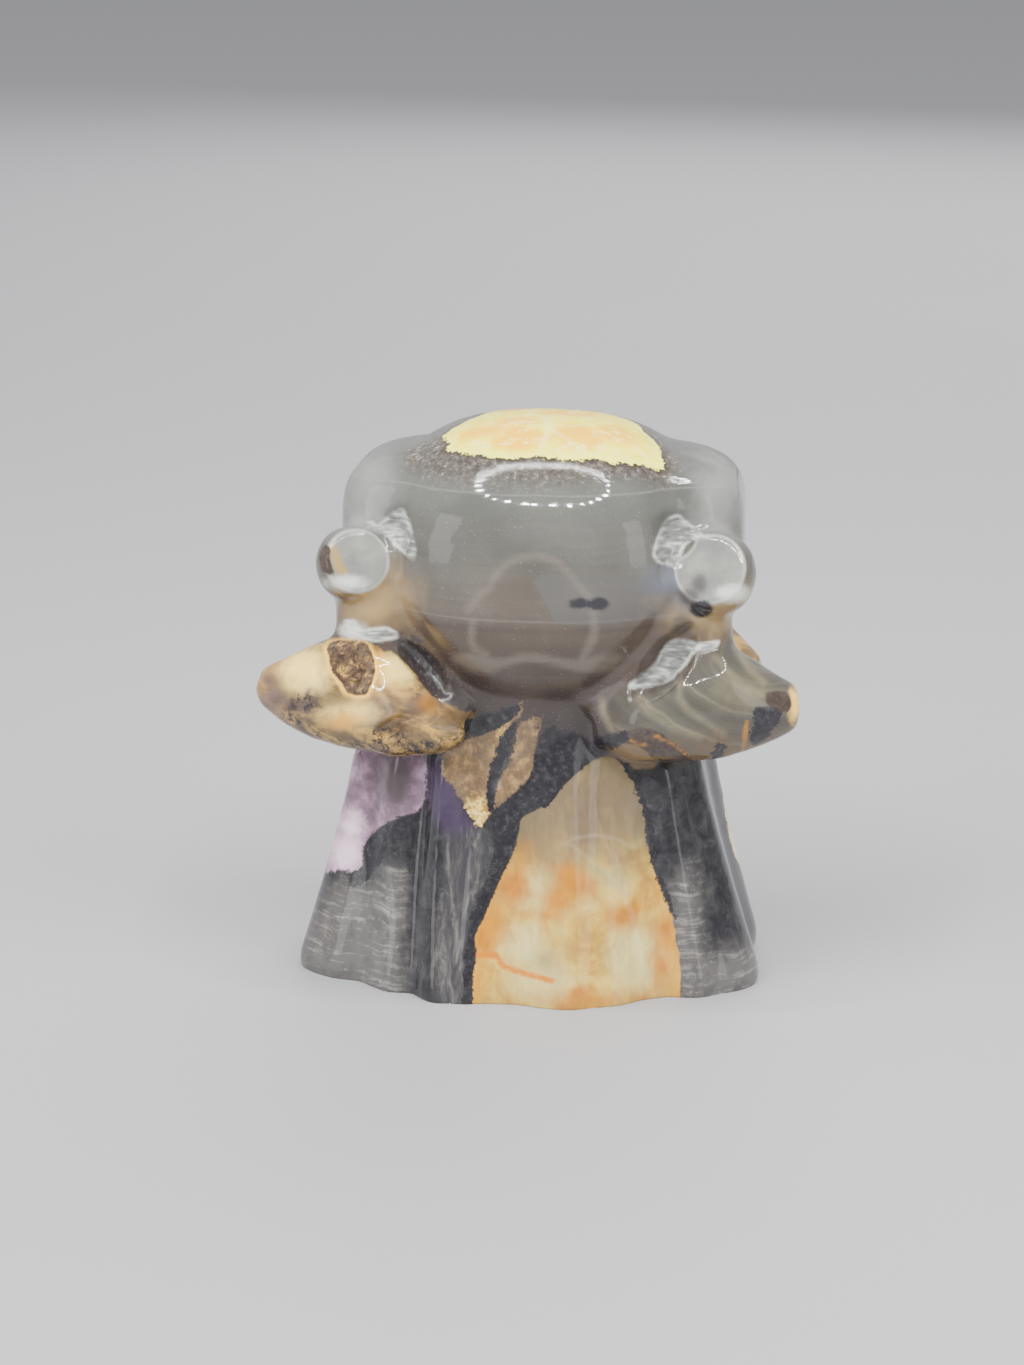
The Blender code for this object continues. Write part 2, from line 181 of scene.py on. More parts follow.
# How the photograph's pixels measure the stone, and the markings traced on it in those pixels. A marking has
# closed outlines, lines with their width, and round spots with their two radii. It ends at reach, in
# millimetres along Y, or at 0, so that it wraps the stone's side without showing on the far one.
PIXELS_PER_MM = 7.06
PIXEL_MARGIN = 40.0
SEEN_MARKS = {
    "lilac": {"reach": 7.0, "outlines": [[(330, 735), (360, 740), (390, 744), (419, 750), (426, 770),
        (425, 799), (419, 812), (406, 815), (397, 819), (381, 827), (368, 840), (363, 853), (363, 866),
        (357, 874), (342, 870), (320, 868), (318, 820), (324, 770)]]},
    "lilac_grey": {"reach": 7.0, "spots": [(396, 780, 20, 32)]},
    "cloud": {"reach": 7.0, "spots": [(346, 853, 15, 18), (352, 826, 10, 14)]},
    # violet_tint_and_sheen: partly a purple tint of the stone and partly a painted reflection of purple light
    "violet_tint_and_sheen": {"outlines": [[(426, 764), (440, 758), (455, 774), (464, 804), (470, 824), (456, 832),
        (440, 826), (428, 812)]]},
    "ash": {"reach": 4.0, "outlines": [[(362, 886), (376, 878), (390, 868), (402, 880), (404, 930),
        (400, 980), (396, 1010), (330, 1000), (300, 960), (322, 900), (342, 880)], [(672, 890), (690, 868),
        (700, 905), (706, 950), (760, 946), (790, 980), (740, 1010), (680, 1010)]]},
    "smoke": {"outlines": [[(446, 826), (462, 818), (482, 832), (490, 846), (482, 880), (472, 912),
        (466, 940), (462, 1000), (440, 1010), (436, 940), (444, 880)]]},
    "cream": {"outlines": [[(611, 757), (626, 768), (636, 785), (645, 811), (648, 840), (652, 862),
        (661, 888), (671, 913), (676, 939), (680, 965), (679, 1000), (664, 1030), (604, 1040), (540, 1040),
        (476, 1030), (470, 1000), (473, 971), (476, 955), (475, 936), (483, 920), (491, 901), (502, 875),
        (513, 853), (519, 831), (522, 818), (540, 808), (553, 799), (566, 783), (581, 770), (597, 759)]]},
    "tan": {"outlines": [[(442, 760), (447, 750), (463, 741), (482, 733), (494, 729), (513, 716),
        (522, 701), (521, 715), (509, 730), (504, 754), (497, 776), (489, 789), (492, 808), (484, 822),
        (476, 826), (468, 810), (462, 802), (454, 789), (444, 776)], [(521, 722), (543, 718), (538, 735),
        (535, 754), (532, 773), (521, 788), (508, 799), (497, 810), (492, 807), (499, 783), (508, 764),
        (515, 748)]]},
    "ivory": {"spots": [(527, 890, 19, 18), (521, 944, 20, 21), (637, 958, 27, 34), (540, 985, 26, 16),
        (306, 672, 22, 21), (398, 668, 20, 17), (794, 704, 6, 17), (476, 806, 12, 16), (346, 713, 24, 13)]},
    "grey": {"spots": [(274, 696, 17, 21), (378, 710, 13, 13), (424, 702, 15, 10), (560, 832, 34, 52),
        (600, 810, 40, 50), (549, 966, 17, 26), (306, 704, 12, 13)]},
    "amber": {"spots": [(575, 881, 15, 14), (560, 903, 16, 16), (629, 912, 14, 10), (341, 722, 12, 6),
        (427, 704, 8, 7), (504, 738, 5, 11), (478, 812, 12, 16), (742, 524, 7, 24), (658, 962, 8, 36),
        (664, 930, 8, 26), (600, 1000, 50, 8), (379, 662, 4, 12)], "outlines": [[(329, 540), (336, 547),
        (342, 561), (348, 573), (338, 574), (332, 563), (329, 552)], [(504, 909), (507, 885), (512, 864),
        (519, 850), (527, 858), (529, 878), (524, 898), (516, 912)], [(475, 930), (484, 914), (500, 910),
        (510, 920), (505, 936), (492, 950), (478, 953)]], "lines": [([(508, 909), (527, 916), (550, 914)],
        7)]},
    "rust": {"lines": [([(474, 955), (495, 955), (505, 967), (527, 974), (552, 981)], 5), ([(747, 722),
        (745, 735), (743, 750)], 4), ([(631, 741), (637, 744), (645, 745)], 3), ([(652, 734), (672, 744),
        (690, 757)], 2)]},
    "brown": {"outlines": [[(327, 644), (341, 640), (360, 640), (370, 647), (374, 660), (375, 674),
        (368, 692), (358, 696), (346, 692), (340, 682), (332, 672), (328, 657)]]},
    "band": {"outlines": [[(609, 740), (627, 731), (645, 728), (660, 732), (674, 743), (692, 760),
        (668, 764), (652, 757), (639, 747), (621, 743)], [(765, 694), (776, 691), (788, 693), (792, 702),
        (789, 712), (778, 713), (768, 706)], [(325, 545), (330, 549), (331, 563), (335, 575), (323, 573),
        (319, 563), (320, 553)]]},
    # swirls_and_valley_shade: brownish swirl lines at the lobe's tip, and two broad bands of painted shade
    # along the lobe's valleys
    "swirls_and_valley_shade": {"lines": [([(296, 702), (322, 702), (346, 696)], 14), ([(394, 732), (414, 714), (436, 700),
        (456, 722)], 15), ([(262, 690), (276, 682)], 4), ([(268, 706), (284, 696)], 4)]},
    "pale_block": {"reach": 4.0, "spots": [(364, 500, 26, 46), (722, 494, 26, 42)]},
    "pink": {"outlines": [[(614, 750), (624, 743), (634, 742), (644, 747), (658, 760), (652, 768),
        (630, 768), (619, 758)]]},
    "black": {"reach": -1.0, "outlines": [[(518, 721), (513, 735), (508, 752), (502, 768), (496, 785),
        (493, 808), (487, 808), (487, 788), (490, 770), (495, 754), (500, 737), (508, 727)], [(545, 728),
        (572, 732), (600, 748), (588, 761), (578, 768), (566, 781), (556, 796), (550, 805), (534, 808),
        (520, 819), (518, 831), (513, 850), (505, 869), (496, 888), (488, 904), (483, 917), (477, 925),
        (474, 936), (476, 958), (473, 977), (472, 1010), (464, 1010), (463, 985), (464, 958), (468, 936),
        (472, 916), (481, 894), (489, 872), (495, 846), (496, 828), (490, 826), (493, 811), (508, 799),
        (521, 788), (532, 773), (536, 752)], [(462, 724), (476, 716), (490, 713), (513, 706), (521, 708),
        (512, 719), (494, 730), (474, 737)], [(600, 737), (620, 731), (628, 736), (625, 743), (615, 748),
        (604, 756), (590, 757), (586, 748)], [(618, 757), (632, 768), (643, 792), (652, 820), (655, 850),
        (660, 872), (669, 894), (675, 915), (672, 914), (661, 889), (651, 862), (647, 840), (643, 812),
        (634, 787), (624, 770)], [(425, 799), (433, 813), (421, 819), (407, 832), (394, 844), (381, 862),
        (366, 880), (352, 888), (350, 874), (363, 866), (363, 853), (368, 840), (381, 827), (397, 819),
        (408, 815), (419, 811)], [(712, 757), (722, 762), (730, 800), (730, 830), (722, 826), (714, 795)],
        [(752, 712), (766, 707), (781, 712), (779, 723), (768, 736), (756, 745), (750, 736), (754, 722)],
        [(716, 744), (723, 743), (726, 748), (722, 758), (714, 762), (711, 757)]]},
    "speckled": {"reach": -1.0, "lines": [([(286, 716), (318, 735), (355, 746), (400, 750), (440, 744)],
        13), ([(404, 640), (432, 664), (452, 692), (470, 706)], 16), ([(470, 722), (452, 742)], 12)],
        "spots": [(306, 703, 13, 13), (549, 745, 12, 30), (386, 740, 22, 16)]},
    "ink": {"spots": [(579, 603.5, 10, 5.4), (599, 604, 10, 6.4), (589, 604, 9, 3.4), (701, 609, 12, 9)]},
    "smudge": {"spots": [(682, 625, 10, 11), (699, 583, 7, 10), (690, 596, 9, 9)]},
    "bluish": {"spots": [(672, 582, 22, 15), (690, 600, 16, 12)]},
    "warm": {"reach": 2.0, "spots": [(712, 612, 36, 20), (376, 600, 32, 26)]},
    "glow": {"spots": [(742, 694, 26, 18)]},
    "hairs": {"reach": -9.0, "lines": [([(560, 846), (576, 838), (595, 835), (617, 839), (634, 848)], 3.4),
        ([(569, 843), (588, 858), (604, 872), (620, 886), (630, 896)], 3.4), ([(379, 690), (385, 700),
        (391, 712)], 3.4), ([(370, 704), (374, 716), (373, 728)], 3.4)]},
    "arcs": {"lines": [([(637, 698), (650, 714), (672, 727), (700, 737)], 4), ([(680, 683), (679, 697),
        (687, 709), (702, 720), (724, 734)], 4), ([(716, 657), (727, 672), (746, 688), (762, 696)], 4),
        ([(735, 647), (748, 668), (764, 682)], 4), ([(602, 700), (604, 716), (612, 730)], 4)]},
    "veil": {"reach": -8.0, "lines": [([(468, 611), (475, 601), (489, 587), (498, 571), (515, 559),
        (536, 555), (553, 559), (567, 571), (577, 584), (590, 598)], 6), ([(473, 621), (471, 639),
        (475, 650), (486, 655)], 6), ([(593, 613), (595, 630), (592, 642), (585, 654), (578, 668)], 7)],
        "outlines": [[(452, 656), (472, 654), (500, 659), (524, 654), (550, 656), (575, 660), (600, 655),
        (622, 656), (612, 667), (592, 673), (560, 667), (530, 662), (505, 667), (490, 673), (470, 671),
        (458, 664)]]},
    "sheet": {"reach": -8.0, "outlines": [[(536, 577), (580, 575), (634, 577), (663, 598), (671, 616),
        (640, 620), (605, 624), (559, 623), (547, 605)]]},
    "tawny": {"reach": -8.0, "spots": [(512, 596, 24, 20), (560, 640, 60, 9)]},
    # cut_frost_and_glare: the cut faces beside the knobs, below the right knob and above the pit, frosty and
    # partly a painted highlight of their glare
    "cut_frost_and_glare": {"reach": -8.0, "outlines": [[(401, 507), (411, 523), (416, 548), (414, 562), (405, 556),
        (394, 546), (386, 536), (376, 529), (364, 528), (382, 520)], [(675, 513), (686, 519), (701, 532),
        (712, 539), (692, 542), (683, 551), (679, 562), (670, 567), (658, 564), (652, 556), (654, 543),
        (663, 523)], [(627, 686), (639, 675), (652, 665), (661, 650), (672, 639), (687, 639), (702, 642),
        (720, 639), (718, 647), (708, 652), (696, 653), (687, 665), (676, 677), (670, 682), (654, 687),
        (633, 690)], [(343, 619), (355, 620), (362, 628), (387, 626), (400, 637), (378, 643), (356, 638),
        (345, 628)]]},
    # glare_spots: painted highlights on the lower rims of the knobs and above the pit
    "glare_spots": {"reach": -10.0, "spots": [(346, 583, 18, 7), (734, 594, 16, 8), (352, 630, 12, 8)]},
    "crescent": {"reach": -2.0, "outlines": [[(398, 639), (412, 640), (428, 652), (438, 668), (444, 690),
        (440, 696), (428, 686), (416, 670), (406, 656)]]},
    "left_lobe": {"outlines": [[(322, 643), (345, 638), (372, 643), (384, 652), (397, 648), (406, 660),
        (416, 676), (427, 690), (438, 695), (452, 700), (468, 708), (475, 716), (468, 731), (452, 748),
        (430, 762), (380, 768), (318, 752), (268, 728), (236, 700), (242, 664), (290, 634)]]},
    "right_lobe": {"outlines": [[(604, 702), (622, 693), (650, 690), (674, 684), (690, 668), (712, 652),
        (732, 634), (762, 648), (804, 668), (812, 722), (782, 752), (742, 768), (690, 774), (640, 774),
        (612, 766), (606, 748), (616, 738), (612, 720)]]},
}
LOBE_RINGS_AT = (769.0, 652.0)
LOBE_RINGS_ROUND = (1.3, 0.86)
REACH_WAVES = ((1.8, 0.42), (0.9, 1.1))

# What counts as a lobe's skin, as the floor of a scoop behind and as a knob's flat face
LOBE_SPARE = 1.25
SCOOP_SKIN = 0.45
KNOB_FACE = 0.84
KNOB_FACE_SKIN = 0.9
FAR_OUTSIDE = -2.0

# The cap of the dome, seen from above in millimetres. A reach less than nothing ends a marking below that
# height, and on the side and the back nearer the middle than that.
MARGIN = 6.0
TOP_MARKS = {
    "cap": {"reach": -66.0, "outlines": [[(-12.4, -5.4), (-11.2, -8.6), (-11.0, -10.6), (-8.2, -12.4),
        (-5.8, -13.4), (-3.3, -14.1), (-0.9, -14.4), (1.4, -13.9), (5.4, -14.4), (8.4, -13.8), (9.7, -13.2),
        (11.6, -13.4), (13.6, -12.4), (15.5, -11.4), (18.1, -10.2), (17.8, -6.6), (16.9, -3.0),
        (15.0, -0.4), (13.4, 3.6), (8.4, 6.4), (4.0, 5.6), (-1.0, 8.6), (-6.0, 6.2), (-8.4, 1.6),
        (-10.5, -1.8)]]},
    "cap_amber": {"reach": -66.0, "spots": [(-1.0, -10.0, 3.8, 2.9), (6.6, -8.6, 3.5, 3.4),
        (11.6, -5.8, 2.6, 3.2), (-6.4, -7.4, 3.6, 1.8), (-2.4, -4.2, 3.4, 1.8), (4.0, 1.6, 4.4, 2.2),
        (-3.0, 4.6, 2.6, 2.0)]},
    "druse": {"reach": -66.0, "outlines": [[(-17.7, -5.0), (-16.6, -9.9), (-14.7, -12.2), (-12.0, -14.6),
        (-7.8, -16.4), (0.2, -17.4), (8.0, -16.8), (11.8, -15.2), (15.7, -13.6), (19.1, -11.6),
        (19.9, -9.0), (19.0, -3.8), (17.4, 0.6), (15.8, 6.0), (9.6, 9.4), (3.0, 9.0), (-2.0, 12.0),
        (-8.6, 9.0), (-12.6, 3.6), (-15.8, 0.4)]]},
    "cap_veins": {"reach": -66.0, "lines": [([(1.5, -2.3), (2.5, -8.3), (1.9, -12.4)], 0.8), ([(2.4, -7.6),
        (7.0, -11.8), (9.0, -13.4)], 0.5)]},
}

# A cream patch on the skirt's right side, in millimetres along Y and up
SIDE_MARKS = {
    "side_cream": {"reach": -8.0, "outlines": [[(5.0, 21.0), (7.4, 25.0), (10.6, 25.6), (13.0, 20.0),
        (16.4, 15.0), (16.8, 9.0), (13.0, 5.6), (9.4, 7.0), (7.0, 11.4), (4.6, 15.0)]]},
}

# The markings of the side away from the camera, a guess, in millimetres across and up
BACK_MARKS = {
    "back_cream": {"reach": -2.0, "outlines": [[(-26.0, -4.0), (-25.0, 6.0), (-21.0, 14.0), (-19.4, 22.0),
        (-15.6, 30.4), (-11.0, 33.6), (-7.8, 27.0), (-8.6, 19.0), (-5.0, 11.0), (-6.4, 4.0), (-4.2, -4.0)],
        [(12.4, -4.0), (11.0, 5.0), (14.0, 11.0), (13.4, 18.0), (16.6, 24.4), (20.0, 22.0), (21.6, 13.0),
        (25.4, 6.0), (26.4, -4.0)]]},
    "back_amber": {"reach": -2.0, "spots": [(-17.0, 9.0, 3.2, 3.6), (-12.6, 17.0, 2.4, 3.4),
        (18.4, 7.0, 2.6, 3.0), (-20.6, 3.0, 2.4, 2.0)]},
    "back_lobes": {"reach": -4.0, "outlines": [[(-34.0, 36.0), (-32.0, 44.0), (-22.0, 46.0), (-15.0, 42.0),
        (-7.0, 39.0), (-8.0, 33.0), (-20.0, 30.0)], [(36.0, 34.0), (34.0, 43.0), (25.0, 45.0), (19.0, 41.0),
        (20.0, 33.0), (30.0, 31.0)]]},
}

# The ring light above and in front, in metres, and the point that every lamp faces
RING_LAMPS = 24
RING_RADIUS = 0.18
RING_MIDDLE = (0.0, -0.17, 0.46)
RING_LAMP_SIZE = (0.016, 0.016)
RING_LAMP_POWER = 0.18
LIT_POINT = (0.0, 0.0, 0.04)

# Each lamp's place and size in metres and its power in watts. The stone mirrors only the panels and the ring.
SOFTBOXES = (
    ("left_softbox", (-0.9, -0.7, 0.7), (1.0, 1.0), 23.0),
    ("right_softbox", (1.0, -0.5, 0.6), (0.8, 1.0), 16.0),
    ("rear_softbox", (0.2, 0.9, 0.6), (1.0, 0.8), 12.0),
)
PANELS = (
    ("left_panel", (-0.62, -0.56, 0.25), (0.26, 0.50), 0.9),
    ("right_panel", (0.66, -0.58, 0.25), (0.20, 0.50), 0.55),
)
STUDIO_COLOUR = (0.80, 0.80, 0.83, 1.0)
STUDIO_STRENGTH = 0.85
FLOOR_HALF = 2.5
FLOOR_COLOUR = (0.34, 0.34, 0.35, 1.0)
FLOOR_ROUGHNESS = 0.55


def smooth_radii(outline, turns):
    """The outline's distance from the axis in each direction, rounded a little between its points."""
    angles = np.array([math.atan2(y, x) for x, y in outline])
    radii = np.array([math.hypot(x, y) for x, y in outline])
    order = np.argsort(angles)
    around = np.interp(turns, angles[order], radii[order], period=2 * math.pi)
    return (np.roll(around, 1) + 2 * around + np.roll(around, -1)) / 4


def skirt_section(z):
    """The skirt's outline at one height, from the hem's shape below to the waist's above."""
    turns = np.linspace(-math.pi, math.pi, SIDES, endpoint=False)
    hem = smooth_radii(HEM, turns)
    waist = smooth_radii(WAIST, turns)
    flared = max(0.0, 1.0 - max(z, 0.0) / WAIST_Z) ** FLARE
    radii = waist + (hem - waist) * flared
    if z > WAIST_Z:
        radii = radii * (1.0 - (1.0 - SKIRT_TOP) * (z - WAIST_Z) / (SKIRT_TOP_Z - WAIST_Z))
    if z < HEM_Z:
        radii = radii * (HEM_TURN + (1.0 - HEM_TURN) * max(z + HEM_Z, 0.0) / (2 * HEM_Z))
    return [(r * math.cos(a), r * math.sin(a), z) for r, a in zip(radii, turns)]


def loft(bm, sections):
    """A closed solid through sections that have the same number of points."""
    rings = [[bm.verts.new(Vector(point) * MM) for point in section] for section in sections]
    count = len(rings[0])
    for ring, following in zip(rings, rings[1:]):
        for i in range(count):
            j = (i + 1) % count
            bm.faces.new((ring[i], ring[j], following[j], following[i]))
    bm.faces.new(list(reversed(rings[0])))
    bm.faces.new(rings[-1])


def add_skirt(bm):
    loft(bm, [skirt_section(z) for z in SKIRT_Z])


def add_bulged(bm, middle, half, bulge, foot=1.0, waist_z=0.0):
    """A sphere swelled towards a box. Below waist_z it narrows in X to the share called foot."""
    made = bmesh.ops.create_uvsphere(bm, u_segments=48, v_segments=32, radius=1.0)
    low = middle[2] - half[2]
    for vert in made["verts"]:
        way = vert.co.normalized()
        reach = sum(abs(part) ** bulge for part in way) ** (-1.0 / bulge)
        x, y, z = (middle[i] + way[i] * reach * half[i] for i in range(3))
        if z < waist_z:
            down = (waist_z - z) / (waist_z - low)
            x = middle[0] + (x - middle[0]) * (1.0 - (1.0 - foot) * down ** FOOT_CURVE)
        vert.co = Vector((x, y, z)) * MM


def add_neck(bm):
    turns = [2 * math.pi * i / SIDES for i in range(SIDES)]
    loft(bm, [[(NECK_HALF[0] * math.cos(a), NECK_HALF[1] * math.sin(a), z) for a in turns] for z in NECK_Z])


def add_rod(bm, start, end, radius, end_radius=None):
    """A round rod between two points, with flat ends."""
    start = Vector(start) * MM
    end = Vector(end) * MM
    axis = end - start
    turn = axis.to_track_quat("Z", "Y").to_matrix().to_4x4()
    bmesh.ops.create_cone(
        bm, cap_ends=True, segments=KNOB_SIDES, radius1=radius * MM, radius2=(end_radius or radius) * MM,
        depth=axis.length, matrix=Matrix.Translation((start + end) / 2) @ turn)


def knob(side, turned):
    """A knob's middle, axis and radius, in front or turned to the back."""
    middle = Vector(KNOB_MIDDLES[side]) * turned
    axis = (Vector(KNOB_AXES[side]) * turned).normalized()
    return middle, axis, KNOB_RADII[side]


def add_corner(bm, side, turned):
    """One knob on its pillar. Side 0 is the left corner and 1 the right, and turned takes it to the back."""
    middle, axis, radius = knob(side, turned)
    add_bulged(bm, middle, (radius, radius, radius), KNOB_BULGE)
    add_rod(bm, middle - axis * KNOB_BACK, middle, radius * KNOB_ROOT[0], radius * KNOB_ROOT[1])
    top = Vector(PILLAR_TOPS[side]) * turned
    foot = Vector(PILLAR_FEET[side]) * turned
    add_rod(bm, foot, top, PILLAR_RADIUS * PILLAR_SPREAD, PILLAR_RADIUS)
    inner, outer, web_radius = WEBS[side]
    add_rod(bm, Vector(inner) * turned, Vector(outer) * turned, web_radius)


def add_lobe(bm, stations, back):
    """A curved lobe, lofted through upright ovals along its stations."""
    middles = [Vector(middle) for middle, _, _ in stations]
    if back:
        middles = [Vector((m.x * BACK_REACH, -m.y, m.z - BACK_LOBE_DROP * i / len(middles)))
                   for i, m in enumerate(middles)]
    sections = []
    for i, (_, height, depth) in enumerate(stations):
        along = middles[min(i + 1, len(middles) - 1)] - middles[max(i - 1, 0)]
        across = Vector((-along.y, along.x, 0.0)).normalized()
        section = []
        for k in range(LOBE_SIDES):
            turn = 2 * math.pi * k / LOBE_SIDES
            rise = max(math.sin(turn), -LOBE_FLAT)
            section.append(middles[i] + across * depth * math.cos(turn) + Vector((0, 0, height * rise)))
        sections.append(section)
    loft(bm, sections)


def rough_out():
    """Every solid of the stone in one mesh, overlapping."""
    bm = bmesh.new()
    add_skirt(bm)
    add_bulged(bm, BARREL_MIDDLE, BARREL_HALF, BARREL_BULGE, BARREL_FOOT, BARREL_WAIST_Z)
    add_bulged(bm, SLAB_MIDDLE, SLAB_HALF, SLAB_BULGE)
    add_neck(bm)
    for back in (False, True):
        for side in (0, 1):
            add_corner(bm, side, TURNS[back])
        for stations in (LEFT_LOBE, RIGHT_LOBE):
            add_lobe(bm, stations, back)
    bmesh.ops.recalc_face_normals(bm, faces=bm.faces[:])
    bmesh.ops.translate(bm, verts=bm.verts[:], vec=(-MIDDLE_X * MM, -MIDDLE_Y * MM, 0))
    return bm


def centred(point):
    """A point of the stone measured from the middle of its base, in metres."""
    return Vector((point[0] - MIDDLE_X, point[1] - MIDDLE_Y, point[2])) * MM


def new_object(name, bm, collection):
    mesh = bpy.data.meshes.new(name)
    bm.to_mesh(mesh)
    bm.free()
    made = bpy.data.objects.new(name, mesh)
    collection.objects.link(made)
    return made


def add_cutter(collection, name, middle, half, lean=0.0):
    """An oval hollow's solid, leaning about Y."""
    bm = bmesh.new()
    bmesh.ops.create_uvsphere(bm, u_segments=32, v_segments=20, radius=1.0)
    size = Matrix.Diagonal((half[0] * MM, half[1] * MM, half[2] * MM, 1.0))
    turn = Matrix.Rotation(math.radians(lean), 4, "Y")
    place = Matrix.Translation(centred(middle))
    bmesh.ops.transform(bm, verts=bm.verts[:], matrix=place @ turn @ size)
    return new_object(name, bm, collection)


def add_scoops(collection):
    """The scoops of both sides, the flats of the knobs, and the face."""
    for turned in TURNS:
        for side in (0, 1):
            middle, axis, radius = knob(side, turned)
            middle = middle - Vector((MIDDLE_X, MIDDLE_Y, 0))
            bm = bmesh.new()
            add_rod(bm, middle + axis * KNOB_FLAT, middle + axis * KNOB_FLAT * 4, radius + KNOB_FLAT_WIDER)
            new_object(f"knob_flat_{side}", bm, collection)
    for i, (middle, half, lean) in enumerate(SCOOPS):
        add_cutter(collection, f"scoop_front_{i}", middle, half, lean)
        behind = (middle[0] * BACK_REACH, -middle[1] * BACK_STAND, middle[2])
        add_cutter(collection, f"scoop_back_{i}", behind, half, lean)
    for i, (middle, half) in enumerate(FACE_HOLLOWS):
        add_cutter(collection, f"face_{i}", middle, half)


def add_pit(collection):
    """The druse pit on the left lobe, a hollow with a broken, crystal-like wall."""
    pit = add_cutter(collection, "pit", PIT_MIDDLE, PIT_HALF, PIT_LEAN)
    middle = centred(PIT_MIDDLE)
    for vert in pit.data.vertices:
        way = vert.co - middle
        lump = math.sin(way.x * 2600 + way.z * 1500) * math.cos(way.z * 2300 - way.y * 1900)
        vert.co = middle + way * (1.0 + PIT_LUMPS * lump)


def add_remesh(stone, name, voxel):
    remesh = stone.modifiers.new(name, "REMESH")
    remesh.mode = "VOXEL"
    remesh.voxel_size = voxel * MM


def add_smooth(stone, name, passes):
    smooth = stone.modifiers.new(name, "SMOOTH")
    smooth.factor = 0.5
    smooth.iterations = passes


def evaluated(stone):
    """A new mesh of the object with its modifiers applied."""
    graph = bpy.context.evaluated_depsgraph_get()
    return bpy.data.meshes.new_from_object(stone.evaluated_get(graph))


def carve_stone():
    """The whole stone as one smooth mesh, with its base cut flat."""
    working = bpy.data.collections.new("working")
    scoops = bpy.data.collections.new("scoops")
    for collection in (working, scoops):
        bpy.context.scene.collection.children.link(collection)
    stone = new_object("rough", rough_out(), working)
    add_scoops(scoops)
    add_pit(scoops)
    add_remesh(stone, "one stone", ROUGH_VOXEL)
    add_smooth(stone, "tumbled", ROUGH_PASSES)
    scooped = stone.modifiers.new("scooped", "BOOLEAN")
    scooped.operation = "DIFFERENCE"
    scooped.operand_type = "COLLECTION"
    scooped.collection = scoops
    scooped.solver = "EXACT"
    add_remesh(stone, "fine", FINE_VOXEL)
    add_smooth(stone, "polished", FINE_PASSES)
    mesh = evaluated(stone)
    for collection in (working, scoops):
        for used in list(collection.objects):
            bpy.data.objects.remove(used, do_unlink=True)
        bpy.data.collections.remove(collection)
    bm = bmesh.new()
    bm.from_mesh(mesh)
    everything = bm.verts[:] + bm.edges[:] + bm.faces[:]
    cut = bmesh.ops.bisect_plane(
        bm, geom=everything, dist=1e-6, plane_co=(0, 0, 0), plane_no=(0, 0, -1), clear_outer=True)
    rim = [part for part in cut["geom_cut"] if isinstance(part, bmesh.types.BMEdge)]
    bmesh.ops.triangle_fill(bm, edges=rim, use_beauty=True)
    bmesh.ops.recalc_face_normals(bm, faces=bm.faces[:])
    bm.to_mesh(mesh)
    bm.free()
    mesh.name = "ghost_carving_skin"
    return mesh


def vertex_places(mesh):
    points = np.empty(len(mesh.vertices) * 3, dtype=np.float32)
    mesh.vertices.foreach_get("co", points)
    return points.reshape(-1, 3)


def press_folds(mesh):
    """Deepens the skirt's folds with shallow grooves that fade out under the lobes."""
    points = vertex_places(mesh)
    own = points / MM
    up = np.clip(own[:, 2] / WAIST_Z, 0.0, 1.0)
    fade = np.clip((GROOVES_END_Z - own[:, 2]) / GROOVES_FADE, 0.0, 1.0)
    pressed = np.zeros(len(points))
    for grooves, side in ((FRONT_GROOVES, -1.0), (BACK_GROOVES, 1.0)):
        facing = np.clip(side * own[:, 1] / GROOVES_TURN, 0.0, 1.0)
        for hem, waist, width, depth in grooves:
            off = (own[:, 0] - hem - (waist - hem) * up) / width
            pressed += depth * np.exp(-off ** 2) * facing * fade
    around = np.hypot(own[:, 0], own[:, 1]) + 1e-6
    points[:, :2] *= (1.0 - pressed / around)[:, None]
    mesh.vertices.foreach_set("co", points.ravel())


def add_camera():
    lens = bpy.data.cameras.new("photo_camera")
    lens.sensor_width = SENSOR
    lens.sensor_fit = "AUTO"
    lens.lens = FOCAL_PIXELS * SENSOR / max(PHOTO_SIZE)
    lens.clip_start = 0.01
    camera = bpy.data.objects.new("photo_camera", lens)
    camera.location = CAMERA_AT
    camera.rotation_euler = (CAMERA_TILT, 0.0, CAMERA_TURN)
    bpy.context.scene.collection.objects.link(camera)
    bpy.context.scene.camera = camera


def seen(points):
    """Where the photograph sees points of the stone, in its pixels."""
    turn = np.array(Euler((CAMERA_TILT, 0.0, CAMERA_TURN)).to_matrix())
    beside, above, behind = ((points - np.array(CAMERA_AT)) @ turn).T
    across = PHOTO_SIZE[0] / 2 - FOCAL_PIXELS * beside / behind
    down = PHOTO_SIZE[1] / 2 + FOCAL_PIXELS * above / behind
    return np.stack([across, down], axis=1)


def rounded(outline, steps=5):
    """A smooth closed curve through an outline's points."""
    at = np.array(outline, dtype=float)
    before, after, beyond = np.roll(at, 1, 0), np.roll(at, -1, 0), np.roll(at, -2, 0)
    parts = []
    for t in np.arange(steps) / steps:
        bend = (2 * before - 5 * at + 4 * after - beyond) * t ** 2
        bend += (3 * at - before - 3 * after + beyond) * t ** 3
        parts.append(0.5 * (2 * at + (after - before) * t + bend))
    return np.stack(parts, axis=1).reshape(-1, 2)


def from_line(places, start, end):
    """Each place's squared distance from a straight line between two points."""
    run = end - start
    out = places - start
    share = np.clip(out @ run / max(run @ run, 1e-9), 0.0, 1.0)
    gap = out - share[:, None] * run
    return (gap ** 2).sum(axis=1)


